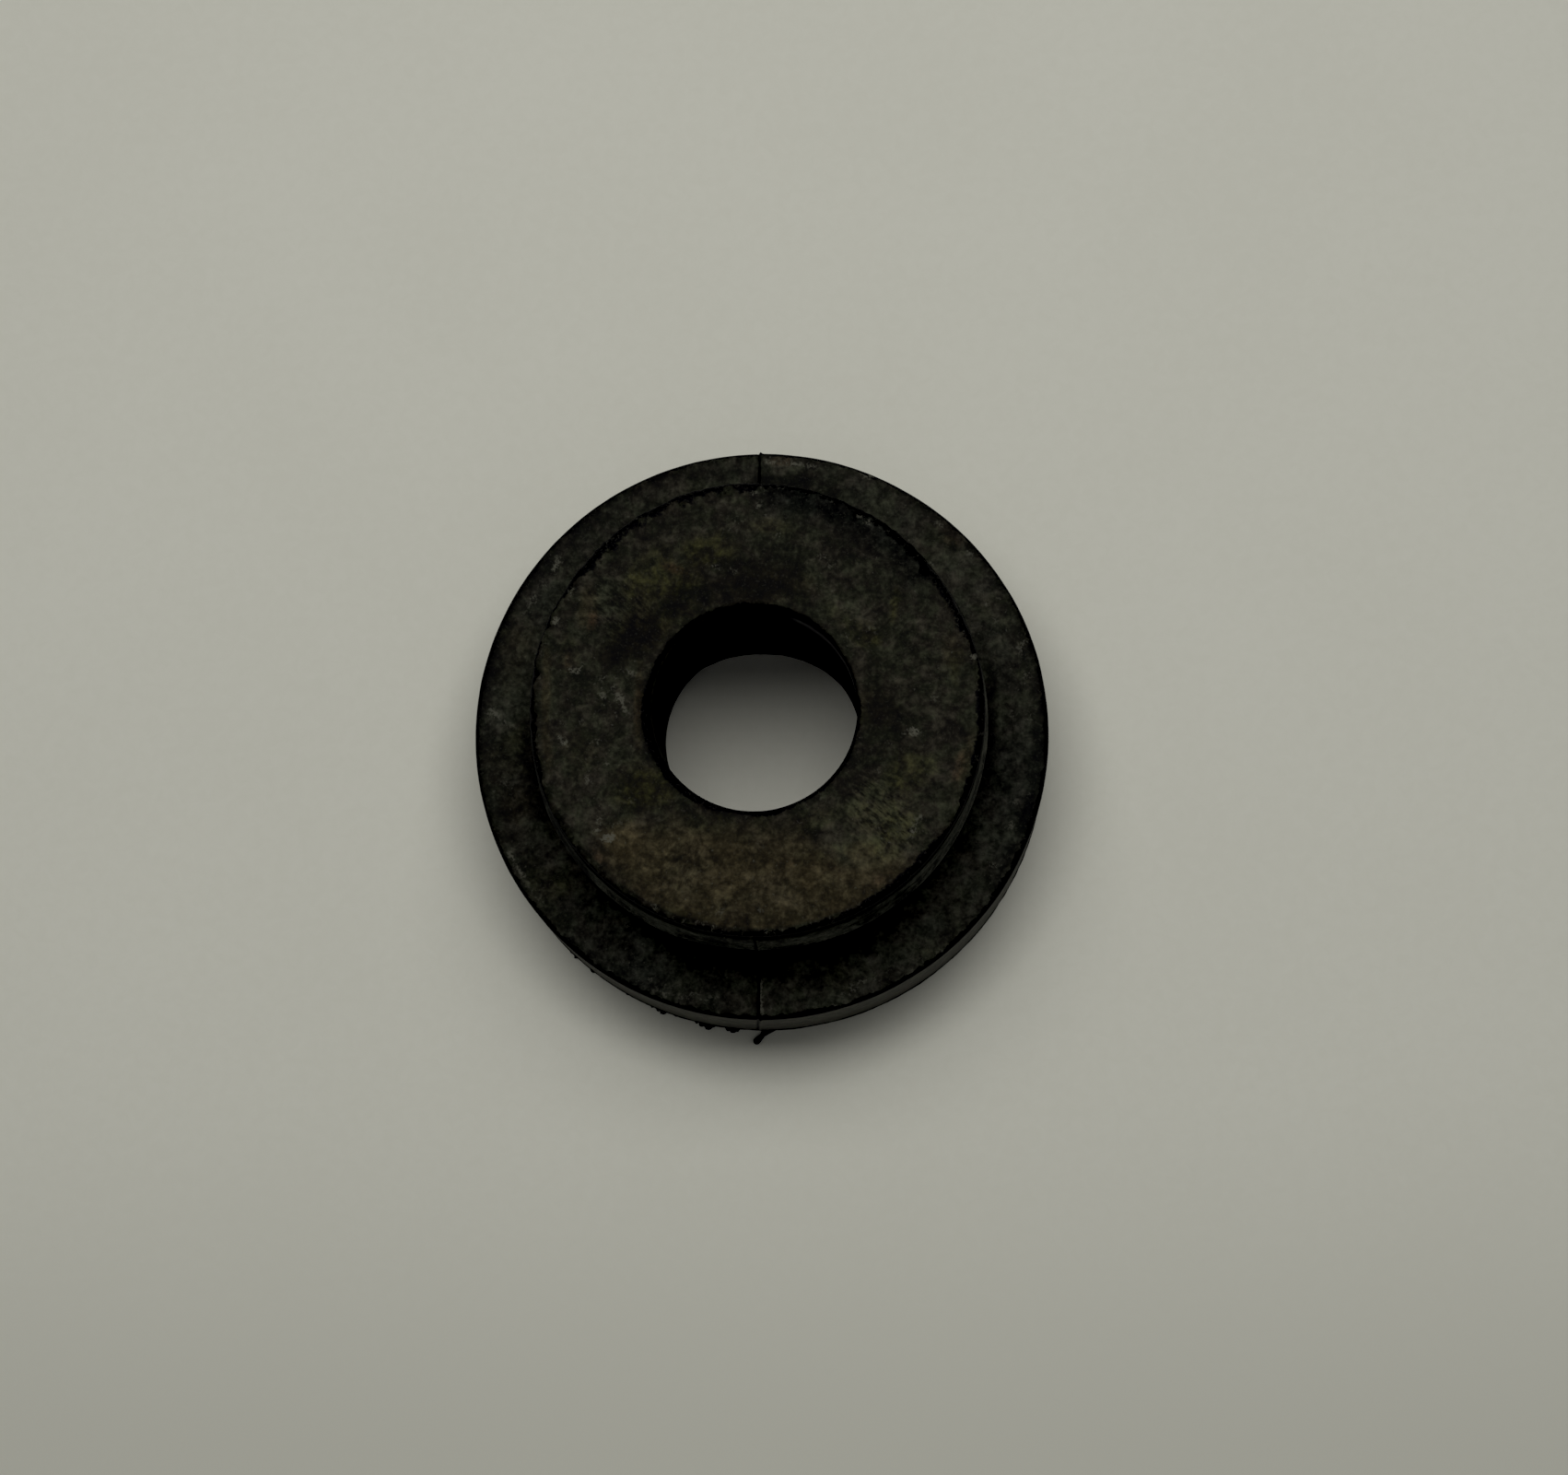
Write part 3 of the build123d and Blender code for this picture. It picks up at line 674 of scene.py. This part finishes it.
# pale scraps and specks: x, y, half length, half width, lean in degrees, strength
PALE_ON_LIP = (
    (-10.21, 0.91, 0.31, 0.25, 40, 0.70), (-9.52, 1.42, 0.25, 0.19, 60, 0.60),
    (-9.19, 0.65, 0.37, 0.31, -30, 0.80), (-8.70, -0.19, 0.19, 0.37, 20, 0.75),
    (-8.43, 2.42, 0.31, 0.15, -20, 0.60), (-9.38, 2.16, 0.19, 0.15, 0, 0.45),
    (-10.31, 2.08, 0.25, 0.12, 0, 0.40), (-12.28, 2.61, 0.43, 0.12, -2, 0.75),
    (-11.79, 2.90, 0.19, 0.15, 60, 0.60), (-12.82, -2.35, 0.25, 0.19, -40, 0.95),
    (-13.16, -1.95, 0.22, 0.19, 60, 0.70), (-12.90, -0.99, 0.19, 0.12, 0, 0.40),
    (-11.73, -0.93, 0.15, 0.15, 0, 0.45), (-10.55, -2.22, 0.19, 0.15, 0, 0.50),
    (-9.94, -3.77, 0.31, 0.22, 80, 0.60), (-11.17, -4.86, 0.25, 0.15, -70, 0.60),
    (-11.23, -6.37, 0.15, 0.15, 0, 0.40), (-10.43, -7.73, 0.37, 0.12, -75, 0.60),
    (-9.87, -8.78, 0.37, 0.28, 15, 1.00), (-10.55, -8.28, 0.19, 0.19, 0, 0.80),
    (-8.33, -6.18, 0.19, 0.19, 0, 0.45), (-13.15, -8.28, 0.15, 0.15, 0, 0.70),
    (-12.48, 7.98, 0.31, 0.22, 60, 0.75), (-13.49, 6.00, 0.25, 0.22, 60, 0.80),
    (-9.19, -7.79, 0.49, 0.19, 20, 0.35), (10.57, -1.66, 0.28, 0.25, -30, 0.95),
    (10.15, -1.79, 0.25, 0.12, -20, 0.50), (8.73, -2.58, 0.19, 0.12, 0, 0.40),
    (11.99, 0.68, 0.31, 0.25, 0, 0.40), (14.51, 3.28, 0.28, 0.22, 70, 0.85),
    (10.83, -7.42, 0.31, 0.12, 60, 0.70), (10.43, -8.34, 0.49, 0.12, 75, 0.70),
    (12.25, 3.71, 0.15, 0.15, 0, 0.35), (8.11, -4.33, 0.15, 0.15, 0, 0.30), (-0.11, 14.65, 0.19, 0.19, 0, 0.75),
    (0.11, 13.88, 0.22, 0.15, 0, 0.85), (-1.28, 12.86, 0.43, 0.31, -20, 0.35),
    (-1.59, 12.24, 0.43, 0.19, 0, 0.40), (1.50, 11.80, 0.25, 0.19, 0, 0.40), (7.49, 12.58, 0.31, 0.15, 0, 0.60),
    (6.88, 13.10, 0.22, 0.19, 30, 0.45), (4.47, 10.26, 0.37, 0.15, -10, 0.45),
    (5.08, 9.70, 0.31, 0.19, 0, 0.40), (6.01, 4.82, 0.37, 0.25, -45, 0.30), (7.74, 5.25, 0.37, 0.19, -50, 0.40),
    (-2.77, 9.64, 0.49, 0.09, -18, 0.50), (-1.53, 9.27, 0.25, 0.31, 40, 0.35),
    (0.32, -13.54, 0.25, 0.19, 0, 0.50), (-2.39, -13.69, 0.22, 0.19, 0, 0.60),
    (-0.17, -11.71, 0.19, 0.19, 0, 0.45), (-6.72, -13.35, 0.19, 0.12, 0, 0.45),
    (-2.83, -14.71, 0.19, 0.12, 0, 0.55), (2.80, -7.79, 0.25, 0.15, 30, 0.30),
    (4.28, -6.00, 0.19, 0.12, 0, 0.40),
)
PALE_ON_FLANGE = (
    (-14.38, 12.22, 0.45, 0.16, 70, 0.80), (-14.71, 11.51, 0.39, 0.13, 64, 0.50),
    (-15.29, 10.60, 0.58, 0.13, 62, 0.45), (-16.00, 9.50, 0.45, 0.19, 60, 0.60),
    (-16.45, 8.73, 0.39, 0.13, 60, 0.35), (-18.84, 1.48, 0.39, 0.32, -40, 0.60),
    (-18.20, 0.97, 0.52, 0.19, -45, 0.50), (-17.49, 0.51, 0.39, 0.13, -30, 0.35),
    (-17.81, -3.50, 0.39, 0.19, -70, 0.50), (-17.42, -8.48, 0.39, 0.26, -55, 0.85),
    (-16.90, -9.45, 0.58, 0.13, -58, 0.60), (-16.13, -10.55, 0.65, 0.13, -56, 0.50),
    (-15.29, -11.65, 0.52, 0.13, -55, 0.30), (-14.25, -9.06, 0.26, 0.26, 0, 0.45),
    (-13.61, -10.55, 0.32, 0.16, -10, 0.30), (15.76, 8.99, 0.23, 0.16, 0, 0.75),
    (14.53, 12.67, 0.39, 0.19, -55, 0.70), (16.41, 7.89, 0.32, 0.26, 45, 0.40),
    (16.54, 9.44, 0.19, 0.16, 0, 0.40), (18.28, 6.20, 0.32, 0.26, 45, 0.50), (18.02, 5.75, 0.26, 0.26, 0, 0.40),
    (18.54, 4.01, 0.32, 0.23, 80, 0.50), (17.44, 1.22, 0.32, 0.26, 60, 0.45),
    (18.67, 1.03, 0.32, 0.19, 80, 0.40), (18.48, -4.47, 0.26, 0.19, -30, 0.55),
    (17.25, -6.60, 0.29, 0.23, 60, 0.65), (16.02, -9.38, 0.26, 0.26, 0, 0.65),
    (17.57, -4.99, 0.32, 0.26, 50, 0.35), (7.61, 18.24, 0.39, 0.13, -18, 0.70),
    # the marks at x 1.40, y 19.30, at x 2.95, y 19.12 and at x 0.50, y 19.40 are a painted highlight on the flange's
    # far edge
    (12.53, 14.74, 0.26, 0.19, -40, 0.60), (1.40, 19.30, 1.05, 0.20, -4, 0.40),
    (2.95, 19.12, 0.85, 0.15, -7, 0.65), (0.50, 19.40, 0.45, 0.18, 0, 0.70),
    (12.01, 11.90, 0.32, 0.19, -50, 0.60), (-7.65, -17.28, 0.19, 0.16, 0, 0.60),
    (-7.27, -17.79, 0.19, 0.13, 0, 0.50), (-6.68, -18.25, 0.26, 0.13, -10, 0.75),
    (-5.52, -18.38, 0.19, 0.13, 0, 0.40), (-4.61, -18.25, 0.45, 0.13, 5, 0.55),
    (-3.77, -18.57, 0.26, 0.13, 0, 0.45), (-3.13, -18.38, 0.32, 0.13, 0, 0.50),
    (-8.75, -16.89, 0.19, 0.16, 0, 0.45), (-9.53, -16.05, 0.19, 0.13, 0, 0.40),
    (-8.04, -14.75, 0.19, 0.19, 0, 0.60), (-9.27, -13.46, 0.16, 0.13, 0, 0.50),
    (-8.82, -15.53, 0.19, 0.13, 0, 0.35), (7.09, -17.34, 0.32, 0.23, 20, 0.65),
    (6.32, -17.86, 0.26, 0.16, 0, 0.60), (7.74, -17.02, 0.26, 0.13, 20, 0.40),
    (8.77, -16.82, 0.26, 0.16, 20, 0.45), (5.54, -18.31, 0.26, 0.13, 0, 0.40),
    (5.09, -19.02, 0.19, 0.10, 0, 0.45), (12.20, -15.40, 0.39, 0.12, 35, 0.45),
    (10.97, -16.05, 0.32, 0.10, 30, 0.30), (0.02, -17.79, 0.32, 0.08, 90, 0.80),
    (0.04, -18.63, 0.39, 0.08, 88, 0.60), (0.11, -19.35, 0.26, 0.10, 95, 0.75),
    (0.82, -19.22, 0.32, 0.10, 0, 0.35),
)
scraps_and_highlights = marks(PALE_ON_LIP, on_lip_face, 0.5, 0.23) + marks(PALE_ON_FLANGE, on_flange, 0.5, 0.21)
# crumbs of dirt on the lip's edge and side, most by the near end of the parting line
crumbs = smooth(noise(points * (1, 1, 0.3), 0.30, 98) + 0.30 * bell(az, -92, 22), 0.25, 0.75)
scraps_and_highlights = scraps_and_highlights + 0.34 * crumbs * (0.35 + bell(az, -92, 30) + 0.3 * torn[column_of]) * on_crown
scraps_and_highlights = scraps_and_highlights + 0.42 * crumbs * bell(az, -92, 20) * (zone_of == "lip_side")
scraps_and_highlights = scraps_and_highlights + (0.20 + 0.14 * span(az, -18, 8, 8)) * band * across_it * on_band
# painted highlight: a pale line along the raised edge beside the parting line's cut, on the near part of the flange
scraps_and_highlights = scraps_and_highlights + 0.85 * np.exp(-(((across - 0.12) / 0.07) ** 2)) * (Y < 0) * span(az, -92, -88, 1) * (
    smooth(radius, 16.9, 17.4) * (1 - smooth(radius, 19.5, 19.75))) * (0.7 + 0.5 * fine_edge) * on_flange

# fine grit, in bands
grit = marks((
    (-9.30, 1.10, 1.80, 2.20, 0, 0.55), (-10.40, -3.40, 1.20, 4.00, 0, 0.40),
    (9.40, -8.20, 2.20, 2.00, 45, 0.35), (6.90, -9.60, 1.40, 0.80, 10, 0.35),
    (-0.80, 13.20, 2.60, 0.90, 0, 0.35), (11.60, 1.40, 2.20, 3.20, 0, 0.25),
    (5.20, 7.40, 2.60, 1.20, -47, 0.25), (0.00, -12.00, 7.00, 2.60, 0, 0.25),
    (9.00, 12.00, 2.20, 0.80, -42, 0.35),
), on_top) + marks((
    (-6.00, -18.20, 3.60, 0.80, -14, 0.65), (-8.80, -15.80, 2.40, 1.60, -30, 0.55),
    (7.20, -17.40, 2.40, 0.80, 20, 0.60), (11.60, -15.60, 2.20, 0.60, 35, 0.35),
    (17.80, 5.40, 1.60, 3.80, 18, 0.50), (15.20, 11.60, 1.60, 2.40, 42, 0.30),
    (-15.60, 10.80, 0.80, 3.00, -30, 0.35), (-18.40, 1.00, 1.40, 1.00, -40, 0.40),
    (-15.40, -10.60, 1.20, 3.00, 34, 0.40), (16.60, -8.20, 1.20, 2.60, -25, 0.35),
    (-17.20, -4.00, 1.40, 2.20, 0, 0.35),
), on_flange)
# where the surface is brushed outwards from the bore
brush = marks((
    (-8.80, 6.60, 3.00, 2.40, -40, 1.00), (8.80, -7.40, 3.20, 2.60, -40, 1.00),
    (9.40, 5.40, 2.60, 3.00, 30, 0.50), (-5.20, -10.60, 3.00, 2.00, 60, 0.45),
    (3.40, 10.40, 3.00, 2.00, 60, 0.35),
), on_top)

# how much each part shines: dusty faces hardly do, the walls that lean away more
shine_of = {"top": 0.14, "crown": 0.08, "bore_edge": 0.08, "flange_top": 0.14, "flange_edge": 0.08,
            "side": 0.60, "lip_side": 0.12, "lip_root": 0.16, "flash": 0.10, "under": 0.15}
gloss = np.array([shine_of.get(z, 0.0) for z in zone_of])
gloss = np.where(on_top, gloss * (1 - 0.6 * clean), gloss) * (1 - 0.6 * damp)
gloss = np.where(on_band, gloss * across_it, gloss)
polish = np.where(wall & (np.abs(points[:, 2] - 17.2) < 0.5), span(az, 10, 70, 12), 0.0)
gloss = gloss + 0.22 * polish
gloss = gloss + np.where(wall, 0.07 * span(az, 168, 216, 12), 0.0) + 0.16 * rim


def store(name, values, scale=1.0):
    attribute = mesh.attributes.new(name, "FLOAT", "POINT")
    attribute.data.foreach_set("value", np.clip(values * scale, 0, 1).astype(np.float32))


store("dust_and_painted_light", dust_and_painted_light, 0.4)        # stored small, to leave room for thick dust
store("brown", brown)
store("olive", olive)
store("rust_and_highlight_tint", rust_and_highlight_tint)
store("scraps_and_highlights", scraps_and_highlights)
store("grit", grit)
store("brush", brush)
store("gloss", gloss)
store("inside", 0.5 + 0.25 * inside)    # -2 mm to 2 mm
store("damp", damp)
store("polish", polish)
store("cool", cool)
store("banded", 1.0 * on_band)
# painted shade: darkening in the parting line's fine cut, at the foot of the proud half's step
seam_cut_shade = on_seam * np.exp(-(((across + 0.04) / 0.10) ** 2))
store("seam_cut_shade", seam_cut_shade)

piece = bpy.data.objects.new("bush_moulding", mesh)
bpy.context.scene.collection.objects.link(piece)


# ---- materials --------------------------------------------------------------
class Tree:
    """A short way to write a material's nodes."""

    def __init__(self, material):
        material.use_nodes = True
        self.tree = material.node_tree
        self.tree.nodes.clear()

    def node(self, kind, inputs=None, **settings):
        n = self.tree.nodes.new(kind)
        for key, value in settings.items():
            setattr(n, key, value)
        for key, value in (inputs or {}).items():
            socket = n.inputs[key]
            if isinstance(value, bpy.types.NodeSocket):
                self.tree.links.new(value, socket)
            else:
                socket.default_value = value
        return n

    def math(self, operation, a, b=0.0, c=0.0, clamp=False):
        n = self.node("ShaderNodeMath", {0: a, 1: b, 2: c}, operation=operation, use_clamp=clamp)
        return n.outputs[0]

    def ramp(self, value, low, high, to_low=0.0, to_high=1.0, soft=True):
        n = self.node("ShaderNodeMapRange", {"Value": value, "From Min": low, "From Max": high,
                                             "To Min": to_low, "To Max": to_high},
                      interpolation_type="SMOOTHSTEP" if soft else "LINEAR", clamp=True)
        return n.outputs["Result"]

    def mix(self, factor, a, b, blend="MIX"):
        n = self.node("ShaderNodeMix", data_type="RGBA", blend_type=blend, clamp_factor=True)
        for index, value in ((0, factor), (6, a), (7, b)):
            if isinstance(value, bpy.types.NodeSocket):
                self.tree.links.new(value, n.inputs[index])
            else:
                n.inputs[index].default_value = value
        return n.outputs[2]

    def value_of(self, name):
        return self.node("ShaderNodeAttribute", attribute_name=name, attribute_type="GEOMETRY").outputs["Fac"]

    def noise(self, vector, scale, detail=2.0, roughness=0.5, offset=0.0, distortion=0.0):
        if offset:
            vector = self.node("ShaderNodeVectorMath", {0: vector, 1: (offset, 2.7 * offset, -offset)},
                               operation="ADD").outputs[0]
        n = self.node("ShaderNodeTexNoise", {"Vector": vector, "Scale": scale, "Detail": detail,
                                             "Roughness": roughness, "Distortion": distortion})
        return n.outputs["Fac"]


def rubber_material():
    material = bpy.data.materials.new("aged_rubber")
    t = Tree(material)
    place = t.node("ShaderNodeTexCoord").outputs["Object"]
    mm = t.node("ShaderNodeVectorMath", {0: place, "Scale": 1000.0}, operation="SCALE").outputs[0]

    broad = t.noise(mm, 0.28, 3, 0.6)
    blotch = t.noise(mm, 1.05, 3, 0.62, 4.0, 0.45)
    grain = t.noise(mm, 4.2, 2, 0.55, 9.0)
    fine = t.noise(mm, 10.0, 2, 0.55, 13.0)
    middle = t.noise(mm, 2.1, 2, 0.5, 6.0, 0.2)

    # brushing: noise drawn out along the radius
    flat = t.node("ShaderNodeVectorMath", {0: mm, 1: (1.0, 1.0, 0.0)}, operation="MULTIPLY").outputs[0]
    out = t.node("ShaderNodeVectorMath", {0: flat}, operation="LENGTH").outputs["Value"]
    around = t.node("ShaderNodeVectorMath", {0: flat}, operation="NORMALIZE").outputs[0]
    around = t.node("ShaderNodeVectorMath", {0: around, "Scale": 42.0}, operation="SCALE").outputs[0]
    along = t.node("ShaderNodeCombineXYZ", {2: t.math("MULTIPLY", out, 1.3)}).outputs[0]
    brushed = t.node("ShaderNodeVectorMath", {0: around, 1: along}, operation="ADD").outputs[0]
    streak = t.ramp(t.noise(brushed, 1.0, 3, 0.6), 0.28, 0.72)

    dust_and_painted_light = t.math("MULTIPLY", t.value_of("dust_and_painted_light"), 2.5)
    uneven = t.math("ADD", t.math("MULTIPLY_ADD", blotch, 4.2, -2.1), t.math("MULTIPLY_ADD", grain, 1.9, -0.95))
    uneven = t.math("ADD", uneven, t.math("MULTIPLY_ADD", fine, 0.4, -0.2))
    uneven = t.math("ADD", uneven, t.math("MULTIPLY_ADD", middle, 2.9, -1.45))
    uneven = t.math("ADD", uneven, t.math("MULTIPLY_ADD", broad, 1.0, -0.5))
    film = t.math("MULTIPLY", t.math("EXPONENT", uneven), 0.455)
    sway = t.math("MULTIPLY", t.value_of("brush"), t.math("SUBTRACT", streak, 0.5))
    film = t.math("MULTIPLY", film, t.math("MULTIPLY_ADD", sway, 1.7, 1.0))
    # fine lines along the lip's side
    slow = t.node("ShaderNodeVectorMath", {0: around, "Scale": 0.16}, operation="SCALE").outputs[0]
    tall = t.node("ShaderNodeSeparateXYZ", {0: mm}).outputs["Z"]
    level = t.node("ShaderNodeCombineXYZ", {2: t.math("MULTIPLY", tall, 1.1)}).outputs[0]
    lines = t.node("ShaderNodeVectorMath", {0: slow, 1: level}, operation="ADD").outputs[0]
    lines = t.ramp(t.noise(lines, 1.0, 3, 0.6, 37.0), 0.30, 0.70)
    sway = t.math("MULTIPLY", t.value_of("banded"), t.math("SUBTRACT", lines, 0.5))
    film = t.math("MULTIPLY", film, t.math("MULTIPLY_ADD", sway, 1.7, 1.0))
    film = t.math("MULTIPLY", film, dust_and_painted_light)
    film = t.math("DIVIDE", film, t.math("MULTIPLY_ADD", film, 0.45, 1.0))

    # the dust's ragged border along the clean edges
    inside = t.math("MULTIPLY_ADD", t.value_of("inside"), 4.0, -2.0)
    border = t.math("MULTIPLY_ADD", t.noise(mm, 1.8, 3, 0.60, 17.0), 1.5, -0.75)
    kept = t.ramp(t.math("ADD", inside, border), -0.09, 0.13, 0.05, 1.0)
    film = t.math("MULTIPLY", film, kept)

    rubber = (0.0026, 0.0025, 0.0024, 1)
    grey = (0.0440, 0.0402, 0.0292, 1)
    tone = t.mix(t.ramp(t.noise(mm, 0.80, 3, 0.6, 21.0), 0.36, 0.64), grey, (0.0388, 0.0413, 0.0260, 1))
    tone = t.mix(t.value_of("brown"), tone, (0.0790, 0.0645, 0.0340, 1))
    patchy = t.ramp(t.math("ADD", t.math("MULTIPLY", middle, 0.5), t.math("MULTIPLY", blotch, 0.5)), 0.36, 0.62, 0.15, 0.95)
    tone = t.mix(t.math("MULTIPLY", t.value_of("olive"), patchy), tone, (0.0510, 0.0500, 0.0200, 1))
    tone = t.mix(t.math("MULTIPLY", t.value_of("rust_and_highlight_tint"), patchy), tone, (0.0680, 0.0440, 0.0260, 1))
    tone = t.mix(t.math("MULTIPLY", t.value_of("damp"), 0.6), tone, (0.0290, 0.0330, 0.0300, 1))
    tone = t.mix(t.value_of("cool"), tone, (0.0384, 0.0408, 0.0338, 1))
    thick = t.node("ShaderNodeVectorMath", {0: tone, "Scale": t.math("MULTIPLY", film, 1.19)}, operation="SCALE")
    colour = t.node("ShaderNodeVectorMath", {0: thick.outputs[0], 1: rubber[:3]}, operation="ADD").outputs[0]

    # fine pale grit, thicker in some bands, and single scraps and painted highlights
    sharp = t.noise(mm, 4.0, 1, 0.4, 31.0)
    speck = t.ramp(t.math("MULTIPLY_ADD", t.value_of("grit"), 0.13, sharp), 0.71, 0.83)
    speck = t.math("MULTIPLY", t.math("MULTIPLY", speck, kept), t.math("MINIMUM", dust_and_painted_light, 1.0))
    colour = t.mix(t.math("MULTIPLY", speck, 0.42), colour, (0.095, 0.095, 0.076, 1))
    scrap_and_highlight = t.value_of("scraps_and_highlights")
    torn = t.math("MULTIPLY_ADD", t.noise(mm, 5.0, 2, 0.6, 25.0, 0.6), 4.2, -2.1)
    torn = t.math("MULTIPLY_ADD", scrap_and_highlight, 0.90, torn)
    scrap_and_highlight = t.math("MULTIPLY", t.math("MULTIPLY_ADD", scrap_and_highlight, 0.75, 0.12), t.ramp(torn, 0.30, 0.85))
    colour = t.mix(scrap_and_highlight, colour, (0.108, 0.106, 0.084, 1))
    # painted shade in the parting line's fine cut
    colour = t.mix(t.value_of("seam_cut_shade"), colour, (0.0012, 0.0011, 0.0010, 1))

    rough = t.ramp(film, 0.0, 0.30, 0.72, 0.95, soft=False)
    rough = t.math("MULTIPLY_ADD", t.value_of("polish"), -0.35, rough)
    shine = t.value_of("gloss")

    height = t.math("ADD", t.math("MULTIPLY", blotch, 0.55), t.math("MULTIPLY", grain, 0.5))
    height = t.math("ADD", height, t.math("MULTIPLY", fine, 0.2))
    bump = t.node("ShaderNodeBump", {"Strength": 0.5, "Distance": 0.00006, "Height": height})

    shader = t.node("ShaderNodeBsdfPrincipled", {
        "Base Color": colour, "Roughness": rough, "Normal": bump.outputs["Normal"],
        "Metallic": 0.0, "Specular IOR Level": shine})
    out = t.node("ShaderNodeOutputMaterial")
    t.tree.links.new(shader.outputs[0], out.inputs["Surface"])
    return material


def paper_material():
    material = bpy.data.materials.new("plain_paper")
    t = Tree(material)
    place = t.node("ShaderNodeTexCoord").outputs["Object"]
    mm = t.node("ShaderNodeVectorMath", {0: place, "Scale": 1000.0}, operation="SCALE").outputs[0]
    fibre = t.noise(mm, 1.1, 4, 0.6, 0.0, 0.6)
    broad = t.noise(mm, 0.06, 2, 0.5, 5.0)
    tone = t.math("ADD", t.math("MULTIPLY", fibre, 0.6), t.math("MULTIPLY", broad, 0.4))
    colour = t.mix(t.ramp(tone, 0.3, 0.7), (0.765, 0.762, 0.680, 1), (0.790, 0.788, 0.708, 1))
    # painted shade: the paper is darker towards -Y, standing in for the light falling off there
    near = t.node("ShaderNodeSeparateXYZ", {0: mm}).outputs["Y"]
    colour = t.mix(t.ramp(near, -22.0, -52.0, 0.0, 1.0), colour, (0.690, 0.688, 0.610, 1))
    bump = t.node("ShaderNodeBump", {"Strength": 0.25, "Distance": 0.00003, "Height": fibre})
    shader = t.node("ShaderNodeBsdfPrincipled", {
        "Base Color": colour, "Roughness": 0.9, "Normal": bump.outputs["Normal"],
        "Specular IOR Level": 0.2})
    out = t.node("ShaderNodeOutputMaterial")
    t.tree.links.new(shader.outputs[0], out.inputs["Surface"])
    return material


mesh.materials.append(rubber_material())
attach(piece, "root")
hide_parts("mount_bush")


# ---- floor, backdrop, lights ------------------------------------------------
def disc(name, radius, z, count=128):
    a = np.arange(count) * 2 * math.pi / count
    ring_points = [(radius * math.cos(x), radius * math.sin(x), z) for x in a]
    m = bpy.data.meshes.new(name)
    m.from_pydata(ring_points, [], [tuple(range(count))])
    m.update()
    o = bpy.data.objects.new(name, m)
    bpy.context.scene.collection.objects.link(o)
    return o


floor = disc("floor", 2.3, -0.00002)
floor.data.materials.append(paper_material())

wall_a = np.arange(96) * 2 * math.pi / 96
wall_points = [(2.25 * math.cos(x), 2.25 * math.sin(x), z) for z in (-0.01, 2.2) for x in wall_a]
wall_faces = [(i, i + 96, (i + 1) % 96 + 96, (i + 1) % 96) for i in range(96)]
wall_mesh = bpy.data.meshes.new("backdrop")
wall_mesh.from_pydata(wall_points, [], wall_faces)
backdrop = bpy.data.objects.new("backdrop", wall_mesh)
bpy.context.scene.collection.objects.link(backdrop)
glow = bpy.data.materials.new("backdrop_tone")
glow_tree = Tree(glow)
emit = glow_tree.node("ShaderNodeEmission", {"Color": (0.50, 0.50, 0.47, 1), "Strength": 0.72})
glow_out = glow_tree.node("ShaderNodeOutputMaterial")
glow_tree.tree.links.new(emit.outputs[0], glow_out.inputs["Surface"])
wall_mesh.materials.append(glow)
backdrop.visible_diffuse = False
backdrop.visible_glossy = False
backdrop.visible_transmission = False
backdrop.visible_shadow = False
backdrop.visible_volume_scatter = False


def area_light(name, location, target, width, height, power, colour):
    data = bpy.data.lights.new(name, "AREA")
    data.shape = "RECTANGLE"
    data.size, data.size_y = width, height
    data.energy = power
    data.color = colour
    o = bpy.data.objects.new(name, data)
    o.location = location
    o.rotation_euler = (Vector(target) - Vector(location)).to_track_quat("-Z", "Y").to_euler()
    o.visible_camera = False
    bpy.context.scene.collection.objects.link(o)
    return o


area_light("key", (-0.004, 0.102, 0.32), (0, 0, 0), 0.33, 0.18, 0.62, (1.0, 0.995, 0.965))
area_light("fill", (0.02, -0.13, 0.36), (0, 0, 0.01), 0.34, 0.20, 0.045, (1.0, 0.99, 0.97))

world = bpy.data.worlds.new("room")
bpy.context.scene.world = world
world.use_nodes = True
background = next(n for n in world.node_tree.nodes if n.type == "BACKGROUND")
background.inputs[0].default_value = (0.98, 1.0, 0.97, 1)
background.inputs[1].default_value = 0.070

# ---- camera -----------------------------------------------------------------
cam_data = bpy.data.cameras.new("camera")
cam_data.lens = 78.26087
cam_data.sensor_width = 36.0
cam_data.clip_start = 0.01
cam_data.clip_end = 20.0
cam = bpy.data.objects.new("camera", cam_data)
bpy.context.scene.collection.objects.link(cam)
turned = Matrix((
    (0.9996121680738708, 0.004147524172491884, 0.0275374559807911),
    (0.0004287740499295473, 0.9864376624932892, -0.1641357796691192),
    (-0.027844740822451895, 0.16408392992006907, 0.9860533121239016),
))
cam.matrix_world = Matrix.Translation((0.00811866, -0.0393249, 0.24302492)) @ turned.to_4x4()
bpy.context.scene.camera = cam

bpy.context.scene.view_settings.view_transform = "Standard"
bpy.context.scene.view_settings.look = "None"
bpy.context.scene.view_settings.use_curve_mapping = True
tone_curve = bpy.context.scene.view_settings.curve_mapping
tone_curve.black_level = (0.0050, 0.0050, 0.0042)
tone_curve.update()

bpy.context.view_layer.update()
